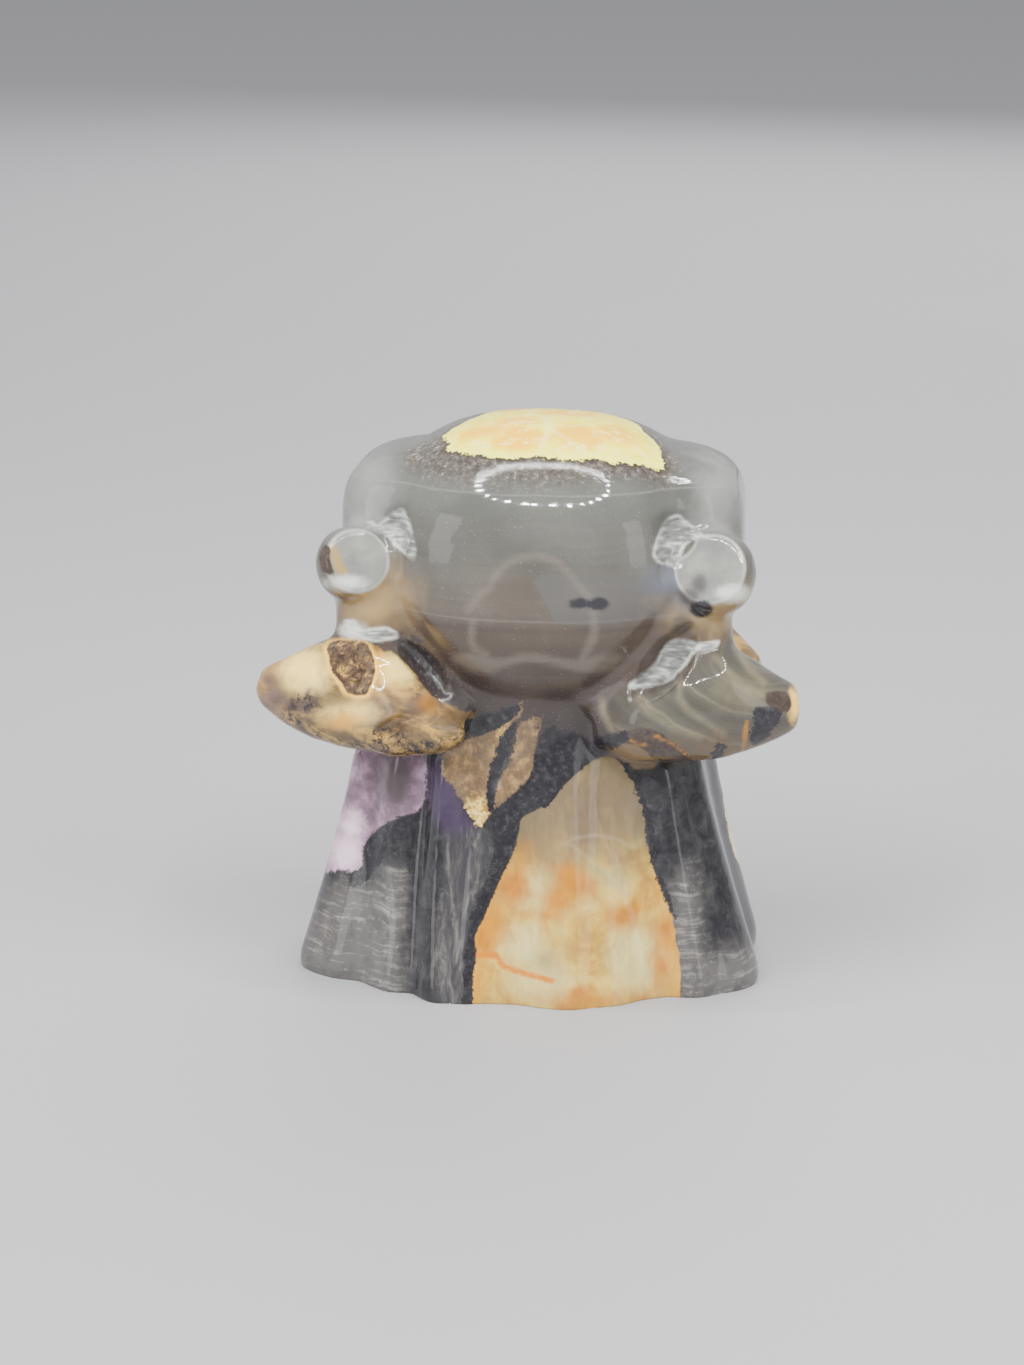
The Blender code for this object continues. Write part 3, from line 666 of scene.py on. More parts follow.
def inside_outline(places, outline, margin):
    """How far inside a closed outline each place is. It is less than nothing outside."""
    curve = rounded(outline)
    near = np.all((places > curve.min(0) - margin) & (places < curve.max(0) + margin), axis=1)
    close = places[near]
    least = np.full(len(close), margin ** 2)
    inside = np.zeros(len(close), dtype=bool)
    for start, end in zip(curve, np.roll(curve, -1, 0)):
        least = np.minimum(least, from_line(close, start, end))
        level = (start[1] > close[:, 1]) != (end[1] > close[:, 1])
        slope = (end[0] - start[0]) / (end[1] - start[1] + 1e-9)
        inside ^= level & (close[:, 0] < start[0] + (close[:, 1] - start[1]) * slope)
    depth = np.full(len(places), -float(margin))
    depth[near] = np.where(inside, 1.0, -1.0) * np.sqrt(least)
    return depth


def inside_marks(places, marks, margin):
    """How far inside any outline, line or spot of a marking each place is."""
    depth = np.full(len(places), -float(margin))
    for outline in marks.get("outlines", []):
        depth = np.maximum(depth, inside_outline(places, outline, margin))
    for line, width in marks.get("lines", []):
        at = np.array(line, dtype=float)
        for start, end in zip(at, at[1:]):
            depth = np.maximum(depth, width / 2 - np.sqrt(from_line(places, start, end)))
    for x, y, wide, tall in marks.get("spots", []):
        out = np.hypot((places[:, 0] - x) / wide, (places[:, 1] - y) / tall)
        depth = np.maximum(depth, (1.0 - out) * min(wide, tall))
    return depth


def on_lobe(points, stations, back):
    """How far inside a lobe's own skin each point is, in millimetres, with a little to spare."""
    middles = np.array([middle for middle, _, _ in stations])
    sizes = np.array([(height, depth) for _, height, depth in stations])
    if back:
        middles = middles * (BACK_REACH, -1.0, 1.0)
        middles[:, 2] -= BACK_LOBE_DROP * np.arange(len(middles)) / len(middles)
    order = np.argsort(middles[:, 0])
    x = points[:, 0]
    y_there, z_there = (np.interp(x, middles[order, 0], middles[order, i]) for i in (1, 2))
    height, depth = (np.interp(x, middles[order, 0], sizes[order, i]) for i in (0, 1))
    out = np.hypot((points[:, 2] - z_there) / height, (points[:, 1] - y_there) / depth)
    return (LOBE_SPARE - out) * np.minimum(height, depth)


def on_back_scoops(points):
    """How near the floor of a scoop of the back each point is, in millimetres."""
    depth = np.full(len(points), FAR_OUTSIDE)
    for middle, half, lean in SCOOPS[:4]:
        turn = np.array(Matrix.Rotation(math.radians(lean), 3, "Y"))
        out = (points - np.array(middle) * (BACK_REACH, -BACK_STAND, 1.0)) @ turn / np.array(half)
        depth = np.maximum(depth, SCOOP_SKIN - np.abs(np.linalg.norm(out, axis=1) - 1.0) * min(half))
    return depth


def on_knob_faces(points):
    """How far inside a knob's flat face each point is, in millimetres."""
    depth = np.full(len(points), FAR_OUTSIDE)
    for turned in TURNS:
        for side in (0, 1):
            middle, axis, radius = knob(side, turned)
            out = points - np.array(middle)
            along = out @ np.array(axis)
            apart = np.sqrt(np.maximum((out ** 2).sum(axis=1) - along ** 2, 0.0))
            level = KNOB_FACE_SKIN - np.abs(along - KNOB_FLAT)
            depth = np.maximum(depth, np.minimum(radius * KNOB_FACE - apart, level))
    return depth


def keep_field(mesh, name, values):
    layer = mesh.attributes.new(name, "FLOAT", "POINT")
    layer.data.foreach_set("value", values.astype(np.float32))


def lay_out_markings(mesh):
    """Keeps on the mesh how deep each vertex lies inside each marking, in millimetres."""
    points = vertex_places(mesh).astype(float)
    own = points / MM + (MIDDLE_X, MIDDLE_Y, 0.0)
    pixels = seen(points)
    within = {
        "left_lobe": np.maximum(on_lobe(own, LEFT_LOBE, False), -MARGIN),
        "right_lobe": np.maximum(on_lobe(own, RIGHT_LOBE, False), -MARGIN),
        "back_lobes": np.maximum(on_lobe(own, LEFT_LOBE, True), on_lobe(own, RIGHT_LOBE, True)),
    }
    waves = sum(height * np.sin(own[:, 2] * rate) for height, rate in REACH_WAVES)
    for group, places, margin, unit, beyond in (
            (SEEN_MARKS, pixels, PIXEL_MARGIN, PIXELS_PER_MM, waves - own[:, 1]),
            (TOP_MARKS, own[:, :2], MARGIN, 1.0, own[:, 2]),
            (SIDE_MARKS, own[:, 1:], MARGIN, 1.0, own[:, 0]),
            (BACK_MARKS, own[:, ::2], MARGIN, 1.0, own[:, 1])):
        for name, marks in group.items():
            depth = inside_marks(places, marks, margin) / unit
            depth = np.minimum(depth, beyond + marks.get("reach", 0.0))
            if name in within:
                depth = np.minimum(depth, within[name])
            keep_field(mesh, name, depth)
    rings = (pixels - LOBE_RINGS_AT) / LOBE_RINGS_ROUND / PIXELS_PER_MM
    keep_field(mesh, "lobe_rings", np.hypot(rings[:, 0], rings[:, 1]))
    keep_field(mesh, "back_scoops", on_back_scoops(own))
    keep_field(mesh, "knob_faces", on_knob_faces(own))


def tint(red, green, blue):
    """The stone's own colour where the photograph shows this one, from 0 to 255."""
    shown = np.array([red, green, blue]) / 255.0
    linear = np.maximum(shown, 0.02) ** GAMMA
    lightness = float(linear @ (0.2126, 0.7152, 0.0722))
    level = 255.0 * lightness ** (1 / GAMMA)
    own = float(np.interp(level, SEEN_LEVELS, OWN_LEVELS))
    purer = float(np.interp(level, PURITY_LEVELS, PURITY))
    strongest = float(linear.max() / lightness)
    milder = purer
    if own * strongest ** purer > BRIGHTEST:
        milder = max(math.log(BRIGHTEST / own) / math.log(strongest), 1.0)
    powers = np.where(linear > lightness * 0.8, milder, purer)
    parts = np.clip(own * (linear / lightness) ** powers, 0.0, BRIGHTEST)
    return tuple(float(part) for part in parts) + (1.0,)


class Dyes:
    """The node steps that a material is coloured with. A colour is given as the photograph shows it."""

    def __init__(self, name):
        self.material = bpy.data.materials.new(name)
        self.material.use_nodes = True
        self.tree = self.material.node_tree
        self.shader = self.tree.nodes["Principled BSDF"]

    def measure_stone(self):
        """Each point's place in millimetres, and the noises that move the edges of markings."""
        place = self.step("ShaderNodeTexCoord", {}).outputs["Object"]
        self.place = self.scaled(place, (1 / MM, 1 / MM, 1 / MM))
        x, y, self.z = self.step("ShaderNodeSeparateXYZ", {0: self.place}).outputs
        self.coarse = self.swing(0.23, 2.0)
        self.mid = self.swing(0.75, 4.0, 0.6)
        self.fine = self.swing(2.6, 4.0, 0.65)
        self.wavy = self.plus(self.times(self.coarse, 2.4), self.times(self.mid, 2.0))
        self.ragged = self.plus(self.times(self.mid, 1.8), self.times(self.fine, 1.4))
        self.crisp = self.plus(self.times(self.mid, 0.8), self.times(self.fine, 0.3))
        self.blurred = self.times(self.coarse, 6.0)
        layers = self.joined(self.times(x, 0.06), self.times(y, 0.06), self.times(self.coarse, 2.0, self.z))
        self.streaks = self.swing(1.5, 5.0, 0.7, place=layers)

    def feed(self, socket, value):
        """Links another node's output to a socket, or sets a colour or a number there."""
        if isinstance(value, bpy.types.NodeSocket):
            self.tree.links.new(value, socket)
        elif isinstance(value, tuple):
            socket.default_value = tint(*value)
        else:
            socket.default_value = value

    def step(self, kind, inputs, **settings):
        """A node of one kind with its settings and inputs."""
        made = self.tree.nodes.new(kind)
        for name, setting in settings.items():
            setattr(made, name, setting)
        for socket, value in inputs.items():
            self.feed(made.inputs[socket], value)
        return made

    def scaled(self, place, scale):
        made = self.step("ShaderNodeVectorMath", {0: place, 1: Vector(scale)}, operation="MULTIPLY")
        return made.outputs[0]

    def joined(self, *values):
        return self.step("ShaderNodeCombineXYZ", dict(enumerate(values))).outputs[0]

    def reckon(self, operation, *values):
        return self.step("ShaderNodeMath", dict(enumerate(values)), operation=operation).outputs[0]

    def plus(self, first, second):
        return self.reckon("ADD", first, second)

    def less(self, first, second):
        return self.reckon("SUBTRACT", first, second)

    def times(self, first, second, more=None):
        """One value times another, plus more where that is given."""
        if more is None:
            return self.reckon("MULTIPLY", first, second)
        return self.reckon("MULTIPLY_ADD", first, second, more)

    def larger(self, first, second):
        return self.reckon("MAXIMUM", first, second)

    def noise(self, scale, detail=2.0, roughness=0.5, warp=0.0, stretch=None, place=None):
        """A noise from 0 to 1 over the stone, with its place stretched or another place given."""
        place = self.place if place is None else place
        if stretch:
            place = self.scaled(place, stretch)
        grain = {"Vector": place, "Scale": scale, "Detail": detail, "Roughness": roughness}
        return self.step("ShaderNodeTexNoise", {**grain, "Distortion": warp}).outputs["Fac"]

    def swing(self, *grain, place=None):
        """A noise about nothing."""
        return self.less(self.noise(*grain, place=place), 0.5)

    def field(self, name):
        return self.step("ShaderNodeAttribute", {}, attribute_name=name).outputs["Fac"]

    def rise(self, value, low, high, to_low=0.0, to_high=1.0):
        """A smooth step of a value from low to high."""
        ends = {"Value": value, "From Min": low, "From Max": high, "To Min": to_low, "To Max": to_high}
        return self.step("ShaderNodeMapRange", ends, interpolation_type="SMOOTHSTEP").outputs["Result"]

    def line(self, value, near, far, share):
        """A line where a value is nothing, which fades out from near to far of it."""
        return self.rise(self.reckon("ABSOLUTE", value), near, far, share, 0.0)

    def over(self, under, colour, share):
        """One colour laid over another, through the Mix node's own colour sockets."""
        return self.step("ShaderNodeMix", {0: share, 6: under, 7: colour}, data_type="RGBA").outputs[2]

    def bands(self, value, steps):
        """A colour ramp. Each step has its place from 0 to 1 and its red, green and blue."""
        made = self.step("ShaderNodeValToRGB", {0: value})
        stops = made.color_ramp.elements
        while len(stops) < len(steps):
            stops.new(1.0)
        for stop, (at, *colour) in zip(stops, steps):
            stop.position = at
            stop.color = tint(*colour)
        return made.outputs[0]

    def shade(self, colour, by):
        """The colour made lighter or darker by a factor."""
        return self.step("ShaderNodeVectorMath", {0: colour, "Scale": by}, operation="SCALE").outputs[0]

    def patch(self, name, edge, soft):
        """A marking's share from 0 to 1, with its edge moved by a noise."""
        return self.rise(self.plus(self.field(name), edge), -soft, soft)

    def mark(self, under, colour, name, edge, soft, share=None):
        """A marking laid over what is under it, at a share of its strength."""
        laid = self.patch(name, edge, soft)
        return self.over(under, colour, laid if share is None else self.times(laid, share))

    def marks(self, under, *laid):
        """Several markings laid over each other, the lowest first."""
        for colour, name, edge, soft, share in laid:
            under = self.mark(under, colour, name, edge, soft, share)
        return under


def smoky_head(dyes):
    """The translucent grey of the head, browner below, with fine level bands."""
    height = dyes.times(dyes.times(dyes.coarse, 5.0, dyes.z), 1 / 80.0)
    head = dyes.bands(height, [
        (0.42, 80, 73, 72), (0.51, 98, 88, 85), (0.57, 108, 95, 88), (0.65, 118, 106, 97),
        (0.71, 144, 136, 126), (0.80, 142, 141, 134), (0.93, 144, 145, 140)])
    head = dyes.shade(head, dyes.rise(dyes.noise(0.10, 3.0), 0.3, 0.7, 0.86, 1.14))
    head = dyes.shade(head, dyes.times(dyes.streaks, 0.30, 1.0))
    level = dyes.plus(dyes.z, dyes.times(dyes.streaks, 0.6))
    for at, reach, colour, share in (
            (54.8, 0.3, (166, 156, 150), 0.45), (71.4, 0.25, (170, 170, 168), 0.35),
            (53.4, 0.8, (100, 88, 80), 0.45), (49.2, 0.7, (130, 118, 112), 0.35),
            (57.6, 0.5, (154, 148, 138), 0.3), (46.4, 0.4, (124, 112, 108), 0.3)):
        head = dyes.over(head, colour, dyes.line(dyes.less(level, at), 0.0, reach, share))
    specks = dyes.rise(dyes.noise(2.6, 3.0, 0.7, stretch=(1.0, 1.0, 2.2)), 0.66, 0.72, 0.0, 0.45)
    head = dyes.over(head, (206, 206, 200), specks)
    return dyes.marks(
        head, ((132, 119, 105), "tawny", dyes.wavy, 1.6, 0.6), ((146, 145, 143), "sheet", 0.0, 0.25, 0.55),
        ((166, 160, 150), "veil", dyes.streaks, 0.7, 0.5))


def dome_cap(dyes, edge):
    """The cream and amber cap of the dome, inside its ragged edge."""
    cap = dyes.bands(dyes.noise(0.32, 6.0, 0.65, 0.8), [
        (0.34, 248, 210, 70), (0.46, 250, 228, 110), (0.58, 250, 240, 164)])
    cap = dyes.mark(cap, (252, 196, 44), "cap_amber", dyes.wavy, 1.2, 0.95)
    cloudy = dyes.rise(dyes.noise(0.5, 5.0, 0.7, stretch=(1.0, 1.0, 0.4)), 0.52, 0.62, 0.0, 0.7)
    cap = dyes.over(cap, (252, 240, 196), cloudy)
    cap = dyes.mark(cap, (252, 242, 206), "cap_veins", dyes.crisp, 0.4, 0.6)
    return dyes.over((250, 244, 170), cap, dyes.rise(edge, 0.2, 1.8))


def whole_head(dyes):
    """The head with its cap, the druse around that, the pale blocks and the knobs."""
    druse = dyes.bands(dyes.noise(1.3, 7.0, 0.78), [
        (0.34, 78, 70, 64), (0.46, 118, 110, 102), (0.56, 152, 145, 137), (0.70, 200, 194, 186)])
    head = dyes.mark(smoky_head(dyes), druse, "druse", dyes.ragged, 1.2, 0.9)
    edge = dyes.plus(dyes.field("cap"), dyes.ragged)
    head = dyes.over(head, (76, 64, 56), dyes.line(edge, 0.0, 0.8, 0.7))
    head = dyes.over(head, dome_cap(dyes, edge), dyes.rise(edge, -0.05, 0.14))
    head = dyes.marks(
        head, ((176, 176, 174), "pale_block", dyes.blurred, 3.0, 0.7),
        ((194, 176, 142), "warm", dyes.blurred, 3.4, 0.8), ((150, 158, 170), "bluish", dyes.wavy, 2.0, 0.7))
    faces = dyes.bands(dyes.noise(0.25, 4.0, 0.55), [(0.3, 160, 160, 158), (0.7, 176, 176, 171)])
    faces = dyes.mark(faces, (190, 172, 124), "amber", dyes.crisp, 0.5, 0.8)
    head = dyes.mark(head, faces, "knob_faces", 0.0, 0.2)
    # A painted highlight along the edge of each knob's flat face.
    face_rim_highlights = dyes.line(dyes.less(dyes.field("knob_faces"), 0.1), 0.05, 0.35, 0.3)
    return dyes.over(head, (206, 206, 202), face_rim_highlights)


def mossy_skirt(dyes):
    """The charcoal of the skirt, with moss, pale wisps and upright streaks."""
    moss = dyes.bands(dyes.noise(0.42, 7.0, 0.75, 0.4), [
        (0.36, 44, 44, 48), (0.50, 66, 65, 69), (0.60, 84, 84, 86), (0.74, 122, 121, 116)])
    upright = dyes.noise(1.0, 4.0, 0.6, 0.3, stretch=(0.55, 0.55, 0.05))
    moss = dyes.over(moss, (110, 109, 106), dyes.rise(upright, 0.52, 0.70, 0.0, 0.6))
    ash = dyes.bands(dyes.times(dyes.streaks, 1.2, dyes.times(dyes.ragged, 0.2)), [
        (0.0, 150, 147, 144), (0.16, 172, 169, 165), (0.4, 192, 190, 184)])
    ash = dyes.over((134, 131, 129), ash, dyes.rise(dyes.noise(0.35, 6.0, 0.75), 0.36, 0.52))
    moss = dyes.mark(moss, ash, "ash", dyes.wavy, 2.4, 0.9)
    glassy = dyes.bands(dyes.noise(0.8, 5.0, 0.65, 0.6, stretch=(0.9, 0.9, 0.16)), [
        (0.40, 90, 88, 92), (0.52, 116, 113, 113), (0.64, 156, 154, 150)])
    moss = dyes.mark(moss, glassy, "smoke", dyes.ragged, 1.0)
    # A purple patch, partly the stone's tint and partly a painted reflection of purple light.
    moss = dyes.mark(moss, (96, 80, 108), "violet_tint_and_sheen", dyes.wavy, 1.6, 0.9)
    lilac = dyes.bands(dyes.noise(0.3, 5.0, 0.6), [
        (0.36, 158, 138, 152), (0.5, 178, 156, 172), (0.66, 196, 180, 192)])
    lilac = dyes.mark(lilac, (118, 103, 108), "lilac_grey", dyes.wavy, 2.0)
    lilac = dyes.mark(lilac, (214, 202, 208), "cloud", dyes.ragged, 1.4)
    return dyes.mark(moss, lilac, "lilac", dyes.ragged, 0.3)


def milky_field(dyes):
    """The cream field of the skirt: grey-beige above, ivory below, with amber clouds and rusty cracks."""
    milk = dyes.bands(dyes.noise(0.13, 5.0, 0.6, 0.7), [
        (0.32, 186, 158, 98), (0.44, 202, 178, 116), (0.54, 208, 192, 138), (0.64, 196, 187, 148),
        (0.76, 216, 186, 118)])
    upper = dyes.bands(dyes.noise(0.2, 3.0, 0.5, 0.4), [
        (0.36, 144, 132, 108), (0.52, 156, 144, 118), (0.68, 180, 166, 130)])
    milk = dyes.over(milk, upper, dyes.rise(dyes.plus(dyes.z, dyes.blurred), 14.0, 26.0))
    milk = dyes.mark(milk, (182, 164, 140), "grey", dyes.blurred, 3.0, 0.45)
    milk = dyes.mark(milk, (206, 200, 168), "ivory", dyes.wavy, 2.4, 0.8)
    inside = dyes.larger(dyes.field("cream"), dyes.field("back_cream"))
    rim = dyes.rise(dyes.plus(inside, dyes.wavy), 0.3, 3.2, 1.0, 0.0)
    milk = dyes.over(milk, (212, 178, 92), dyes.times(rim, dyes.rise(dyes.z, 22.0, 8.0, 0.0, 0.75)))
    milk = dyes.mark(milk, (210, 163, 62), "amber", dyes.blurred, 2.0, 0.9)
    blush = dyes.rise(dyes.noise(0.22), 0.52, 0.68, 0.0, 0.5)
    milk = dyes.mark(milk, (206, 146, 74), "amber", dyes.blurred, 2.6, blush)
    # Upright streaks of painted shade and sheen, lighter and darker, stand in for the light on the skirt's
    # folds.
    fold_shade_and_sheen = dyes.noise(1.0, 3.0, 0.6, 1.2, stretch=(0.6, 0.6, 0.2))
    milk = dyes.shade(milk, dyes.rise(fold_shade_and_sheen, 0.3, 0.7, 0.90, 1.08))
    return dyes.mark(milk, (226, 160, 44), "rust", dyes.crisp, 0.3)


def whole_skirt(dyes):
    """The skirt with its cream fields in front, behind and on its right side."""
    milk = milky_field(dyes)
    skirt = dyes.mark(mossy_skirt(dyes), milk, "cream", dyes.crisp, 0.15)
    back_milk = dyes.mark(milk, (212, 164, 70), "back_amber", dyes.blurred, 1.8)
    skirt = dyes.mark(skirt, back_milk, "back_cream", dyes.ragged, 0.2)
    edge = dyes.plus(dyes.field("back_cream"), dyes.ragged)
    skirt = dyes.over(skirt, (50, 48, 52), dyes.line(edge, 0.4, 1.0, 1.0))
    side_milk = dyes.bands(dyes.noise(0.3, 4.0, 0.6), [(0.38, 190, 178, 146), (0.6, 214, 207, 184)])
    return dyes.mark(skirt, side_milk, "side_cream", dyes.ragged, 0.2)


def tan_chips(dyes, stone):
    """The two tan chips under the head, with their golden points."""
    tan = dyes.bands(dyes.noise(0.7, 5.0, 0.65), [
        (0.36, 150, 128, 104), (0.52, 170, 148, 120), (0.68, 190, 168, 134)])
    golden = dyes.over((196, 166, 96), (222, 210, 168), dyes.rise(dyes.noise(1.5, 5.0, 0.7), 0.40, 0.60))
    tan = dyes.mark(tan, golden, "amber", dyes.ragged, 1.0, 0.9)
    return dyes.mark(stone, tan, "tan", dyes.ragged, 0.15)


def cream_lobes(dyes, stone):
    """The cream of the left lobe and of the lobes behind."""
    lobe = dyes.bands(dyes.noise(0.2, 5.0, 0.6, 1.0, stretch=(0.8, 1.0, 1.3)), [
        (0.34, 146, 126, 98), (0.46, 170, 148, 112), (0.58, 200, 178, 130), (0.72, 170, 150, 120)])
    # The brown lines on the lobe are partly its own swirl lines and partly painted shade in its valleys.
    lobe = dyes.marks(
        lobe,
        ((156, 134, 134), "grey", dyes.wavy, 2.0, 0.85), ((230, 216, 172), "ivory", dyes.wavy, 1.8, 0.85),
        ((220, 180, 90), "amber", dyes.wavy, 1.2, 0.8), ((122, 102, 84), "swirls_and_valley_shade", dyes.wavy, 1.2, 0.7))
    stone = dyes.mark(stone, lobe, "left_lobe", dyes.crisp, 0.25)
    return dyes.mark(stone, lobe, "back_lobes", dyes.ragged, 0.5)


def banded_lobe(dyes, stone):
    """The smoky right lobe with its curved bands, and the brown along its foot."""
    across = dyes.joined(dyes.plus(dyes.field("lobe_rings"), dyes.times(dyes.coarse, 1.4)))
    lobe = dyes.bands(dyes.noise(0.55, 3.0, 0.55, place=across), [
        (0.34, 112, 109, 101), (0.46, 120, 117, 108), (0.56, 134, 130, 119), (0.70, 162, 157, 138)])
    lobe = dyes.mark(lobe, (166, 160, 138), "glow", dyes.wavy, 2.2, 0.6)
    lobe = dyes.over(lobe, (166, 144, 112), dyes.rise(dyes.plus(dyes.z, dyes.blurred), 34.5, 41.5, 0.85, 0.0))
    lobe = dyes.mark(lobe, (236, 208, 160), "ivory", dyes.crisp, 0.5)
    stone = dyes.mark(stone, lobe, "right_lobe", dyes.wavy, 1.8)
    stone = dyes.mark(stone, (160, 140, 116), "pink", dyes.crisp, 0.3)
    brown = dyes.bands(dyes.noise(1.3, 4.0, 0.6), [(0.35, 84, 74, 70), (0.65, 120, 106, 96)])
    return dyes.mark(stone, brown, "band", dyes.crisp, 0.2)


def druse_pit(dyes, stone, edge):
    """The pit on the left lobe, dark and golden, with a pale rim below."""
    pit = dyes.bands(dyes.noise(0.9, 5.0, 0.75, 0.6), [
        (0.34, 50, 38, 32), (0.46, 118, 94, 76), (0.56, 168, 144, 108), (0.70, 220, 196, 140)])
    rim = dyes.times(dyes.line(edge, 0.0, 0.7, 0.8), dyes.rise(dyes.z, 52.5, 48.0))
    stone = dyes.over(stone, (226, 204, 140), rim)
    return dyes.over(stone, pit, dyes.rise(edge, -0.1, 0.25))


def fine_marks(dyes, stone):
    """The rusty cracks, the black veins and specks, the ink spots, and the pale arcs and hairs."""
    stone = dyes.mark(stone, (208, 164, 80), "rust", dyes.crisp, 0.25, 0.6)
    grain = dyes.rise(dyes.noise(0.8, 7.0, 0.78), 0.46, 0.56)
    stone = dyes.mark(stone, (74, 66, 68), "speckled", dyes.wavy, 1.0, grain)
    dark = dyes.bands(dyes.noise(1.1, 7.0, 0.75), [
        (0.38, 44, 43, 48), (0.54, 66, 64, 69), (0.70, 112, 110, 112)])
    stone = dyes.mark(stone, dark, "black", dyes.ragged, 0.15)
    # The lighter streaks in the dark crescent are painted reflections.
    glints = dyes.rise(dyes.noise(0.7, 4.0, 0.6, stretch=(2.2, 1.0, 1.2)), 0.50, 0.62)
    crescent = dyes.over((88, 85, 88), (150, 148, 148), glints)
    return dyes.marks(
        stone, (crescent, "crescent", dyes.crisp, 1.0, 0.75), ((60, 60, 68), "ink", dyes.crisp, 0.3, 0.95),
        ((98, 93, 92), "smudge", dyes.crisp, 0.7, 0.7),
        ((184, 178, 156), "arcs", dyes.times(dyes.crisp, 0.4), 0.7, 0.36),
        ((190, 184, 168), "hairs", dyes.times(dyes.crisp, 0.2), 0.3, 0.32))


def frost_and_glare(dyes, stone):
    """Rippled white on the cut faces, partly their unpolished, frosty texture and partly a painted highlight
    of their glare, brightest along their edges.
    """
    front = dyes.times(dyes.ragged, 0.2, dyes.field("cut_frost_and_glare"))
    ripples = dyes.noise(1.0, 3.0, stretch=(0.4, 0.4, 1.6))
    white = dyes.bands(ripples, [(0.34, 152, 154, 151), (0.52, 174, 176, 173), (0.68, 208, 210, 206)])
    # Painted highlight lines along the edges of the cut faces.
    edge = dyes.line(dyes.less(front, 0.22), 0.0, 0.5, 0.7)
    white = dyes.over(white, (232, 234, 230), dyes.times(edge, dyes.rise(dyes.noise(0.3), 0.38, 0.58)))
    behind = dyes.rise(dyes.field("back_scoops"), -0.3, 0.6, 0.0, 0.55)
    share = dyes.larger(dyes.rise(front, -0.2, 0.5), behind)
    stone = dyes.over(stone, white, dyes.times(share, dyes.rise(ripples, 0.2, 0.7, 0.6, 0.95)))
    # Painted highlights on the knobs' lower rims and above the pit.
    return dyes.mark(stone, (214, 216, 212), "glare_spots", dyes.mid, 0.7, 0.75)


def polish(dyes, cut):
    """How rough the stone is: a little more on cuts, veins and druse, and in the hollow of the neck."""
    rough = dyes.times(dyes.patch("druse", dyes.ragged, 0.9), 0.03, 0.06)
    rough = dyes.times(cut, 0.14, rough)
    rough = dyes.times(dyes.patch("black", dyes.ragged, 0.3), 0.08, rough)
    hollow = dyes.times(dyes.rise(dyes.z, 57.0, 49.0), dyes.rise(dyes.z, 36.0, 40.0))
    lobes = dyes.larger(dyes.patch("left_lobe", 0.0, 0.5), dyes.patch("right_lobe", 0.0, 0.8))
    rough = dyes.times(dyes.times(hollow, dyes.less(1.0, lobes)), 0.20, rough)
    return dyes.times(dyes.fine, 0.08, rough)


def relief(dyes, cut, pit_edge):
    """The height of the surface's fine relief, in millimetres."""
    height = dyes.times(dyes.coarse, 0.06, dyes.times(dyes.mid, 0.004))
    height = dyes.times(dyes.fine, dyes.times(dyes.patch("druse", dyes.ragged, 0.9), 0.014), height)
    crystals = dyes.times(dyes.rise(pit_edge, -0.1, 0.5), 0.5)
    height = dyes.times(dyes.noise(0.9, 5.0, 0.75, 0.6), crystals, height)
    scratches = dyes.noise(1.0, 3.0, stretch=(0.5, 0.5, 3.2))
    return dyes.times(scratches, dyes.times(cut, 0.10), height)


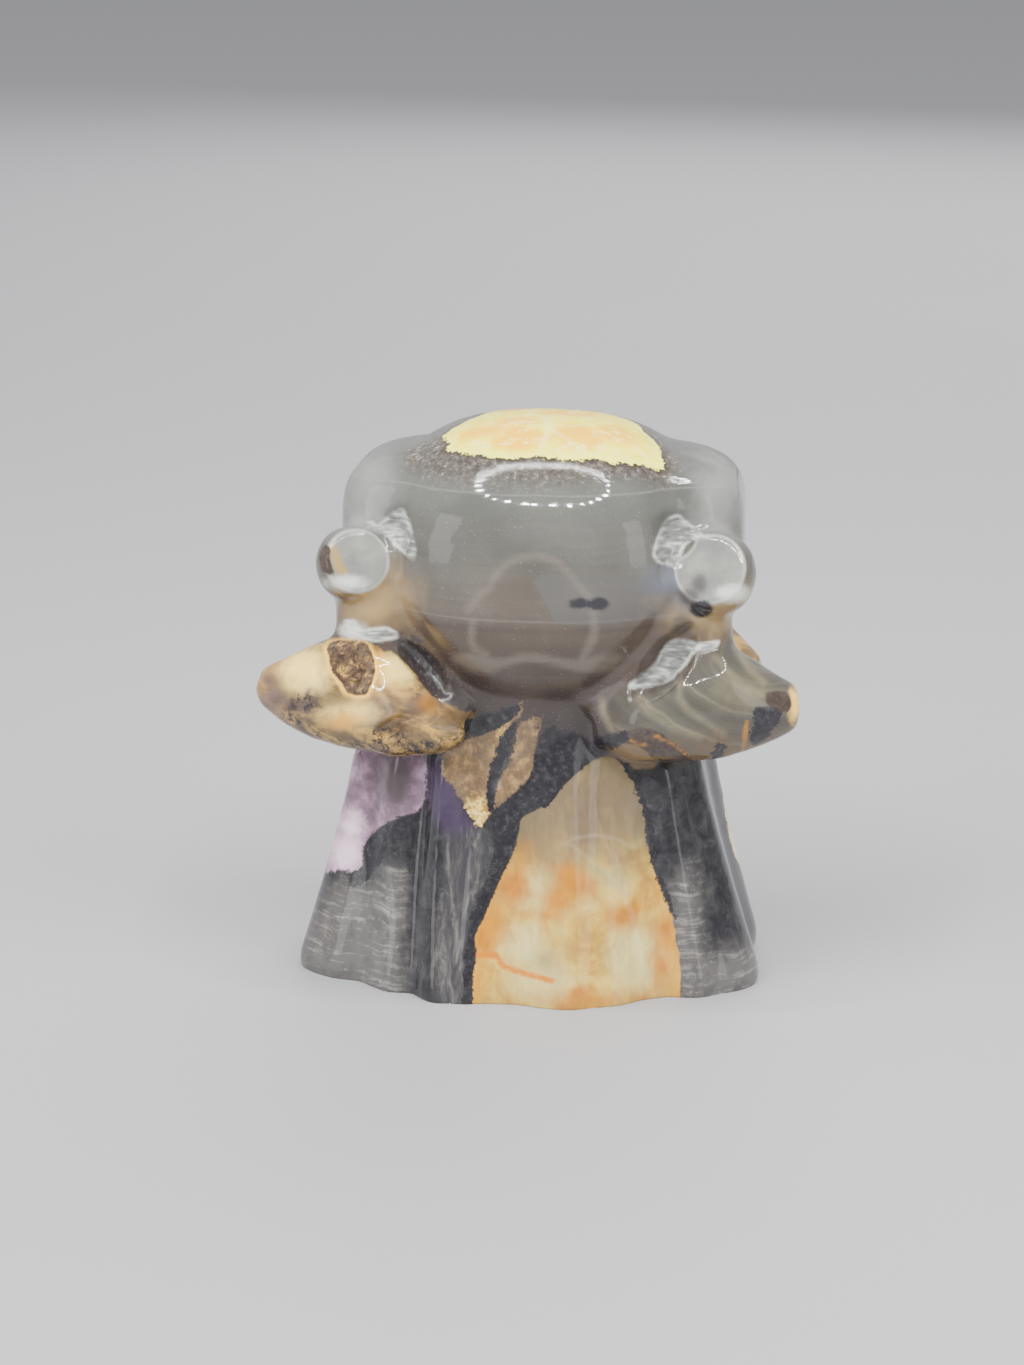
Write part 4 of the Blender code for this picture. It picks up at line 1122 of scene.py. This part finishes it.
def agate():
    """The whole stone's material, with each marking laid over what lies under it."""
    dyes = Dyes("polished_agate")
    dyes.measure_stone()
    pit_edge = dyes.plus(dyes.field("brown"), dyes.crisp)
    neck = dyes.rise(dyes.plus(dyes.z, dyes.wavy), 32.5, 36.5)
    stone = dyes.over(whole_skirt(dyes), whole_head(dyes), neck)
    stone = banded_lobe(dyes, cream_lobes(dyes, tan_chips(dyes, stone)))
    stone = frost_and_glare(dyes, fine_marks(dyes, druse_pit(dyes, stone, pit_edge)))
    cut = dyes.larger(dyes.patch("cut_frost_and_glare", 0.0, 0.3), dyes.patch("back_scoops", 0.0, 0.3))
    height = relief(dyes, cut, pit_edge)
    bump = dyes.step("ShaderNodeBump", {"Strength": 1.0, "Distance": MM, "Height": height})
    dyes.feed(dyes.shader.inputs["Base Color"], stone)
    dyes.feed(dyes.shader.inputs["Roughness"], polish(dyes, cut))
    dyes.feed(dyes.shader.inputs["Normal"], bump.outputs[0])
    dyes.shader.inputs["IOR"].default_value = AGATE_IOR
    return dyes.material


def add_floor():
    bm = bmesh.new()
    bmesh.ops.create_grid(bm, x_segments=1, y_segments=1, size=FLOOR_HALF)
    floor = new_object("floor", bm, bpy.context.scene.collection)
    dyes = Dyes("pale_floor")
    dyes.shader.inputs["Base Color"].default_value = FLOOR_COLOUR
    dyes.shader.inputs["Roughness"].default_value = FLOOR_ROUGHNESS
    floor.data.materials.append(dyes.material)


def add_lamp(name, at, size, power, shape="RECTANGLE"):
    lamp = bpy.data.lights.new(name, "AREA")
    lamp.shape = shape
    lamp.size, lamp.size_y = size
    lamp.energy = power
    lit = bpy.data.objects.new(name, lamp)
    lit.location = at
    lit.rotation_euler = (Vector(LIT_POINT) - Vector(at)).to_track_quat("-Z", "Y").to_euler()
    bpy.context.scene.collection.objects.link(lit)
    return lit


def add_lights():
    facing = (Vector(LIT_POINT) - Vector(RING_MIDDLE)).to_track_quat("-Z", "Y").to_matrix()
    for i in range(RING_LAMPS):
        turn = 2 * math.pi * i / RING_LAMPS
        out = Vector((math.cos(turn), math.sin(turn), 0.0)) * RING_RADIUS
        add_lamp(f"ring_{i}", Vector(RING_MIDDLE) + facing @ out, RING_LAMP_SIZE, RING_LAMP_POWER, "DISK")
    for name, at, size, power in SOFTBOXES:
        add_lamp(name, at, size, power).visible_glossy = False
    for name, at, size, power in PANELS:
        add_lamp(name, at, size, power)
    world = bpy.data.worlds.new("studio")
    world.use_nodes = True
    sky = world.node_tree.nodes["Background"].inputs
    sky["Color"].default_value = STUDIO_COLOUR
    sky["Strength"].default_value = STUDIO_STRENGTH
    bpy.context.scene.world = world


def main():
    add_camera()
    mesh = carve_stone()
    press_folds(mesh)
    lay_out_markings(mesh)
    mesh.shade_smooth()
    mesh.materials.clear()
    mesh.materials.append(agate())
    stone = bpy.data.objects.new("stone", mesh)
    bpy.context.scene.collection.objects.link(stone)
    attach(stone, "root")
    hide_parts("ghost_carving")
    add_floor()
    add_lights()


main()
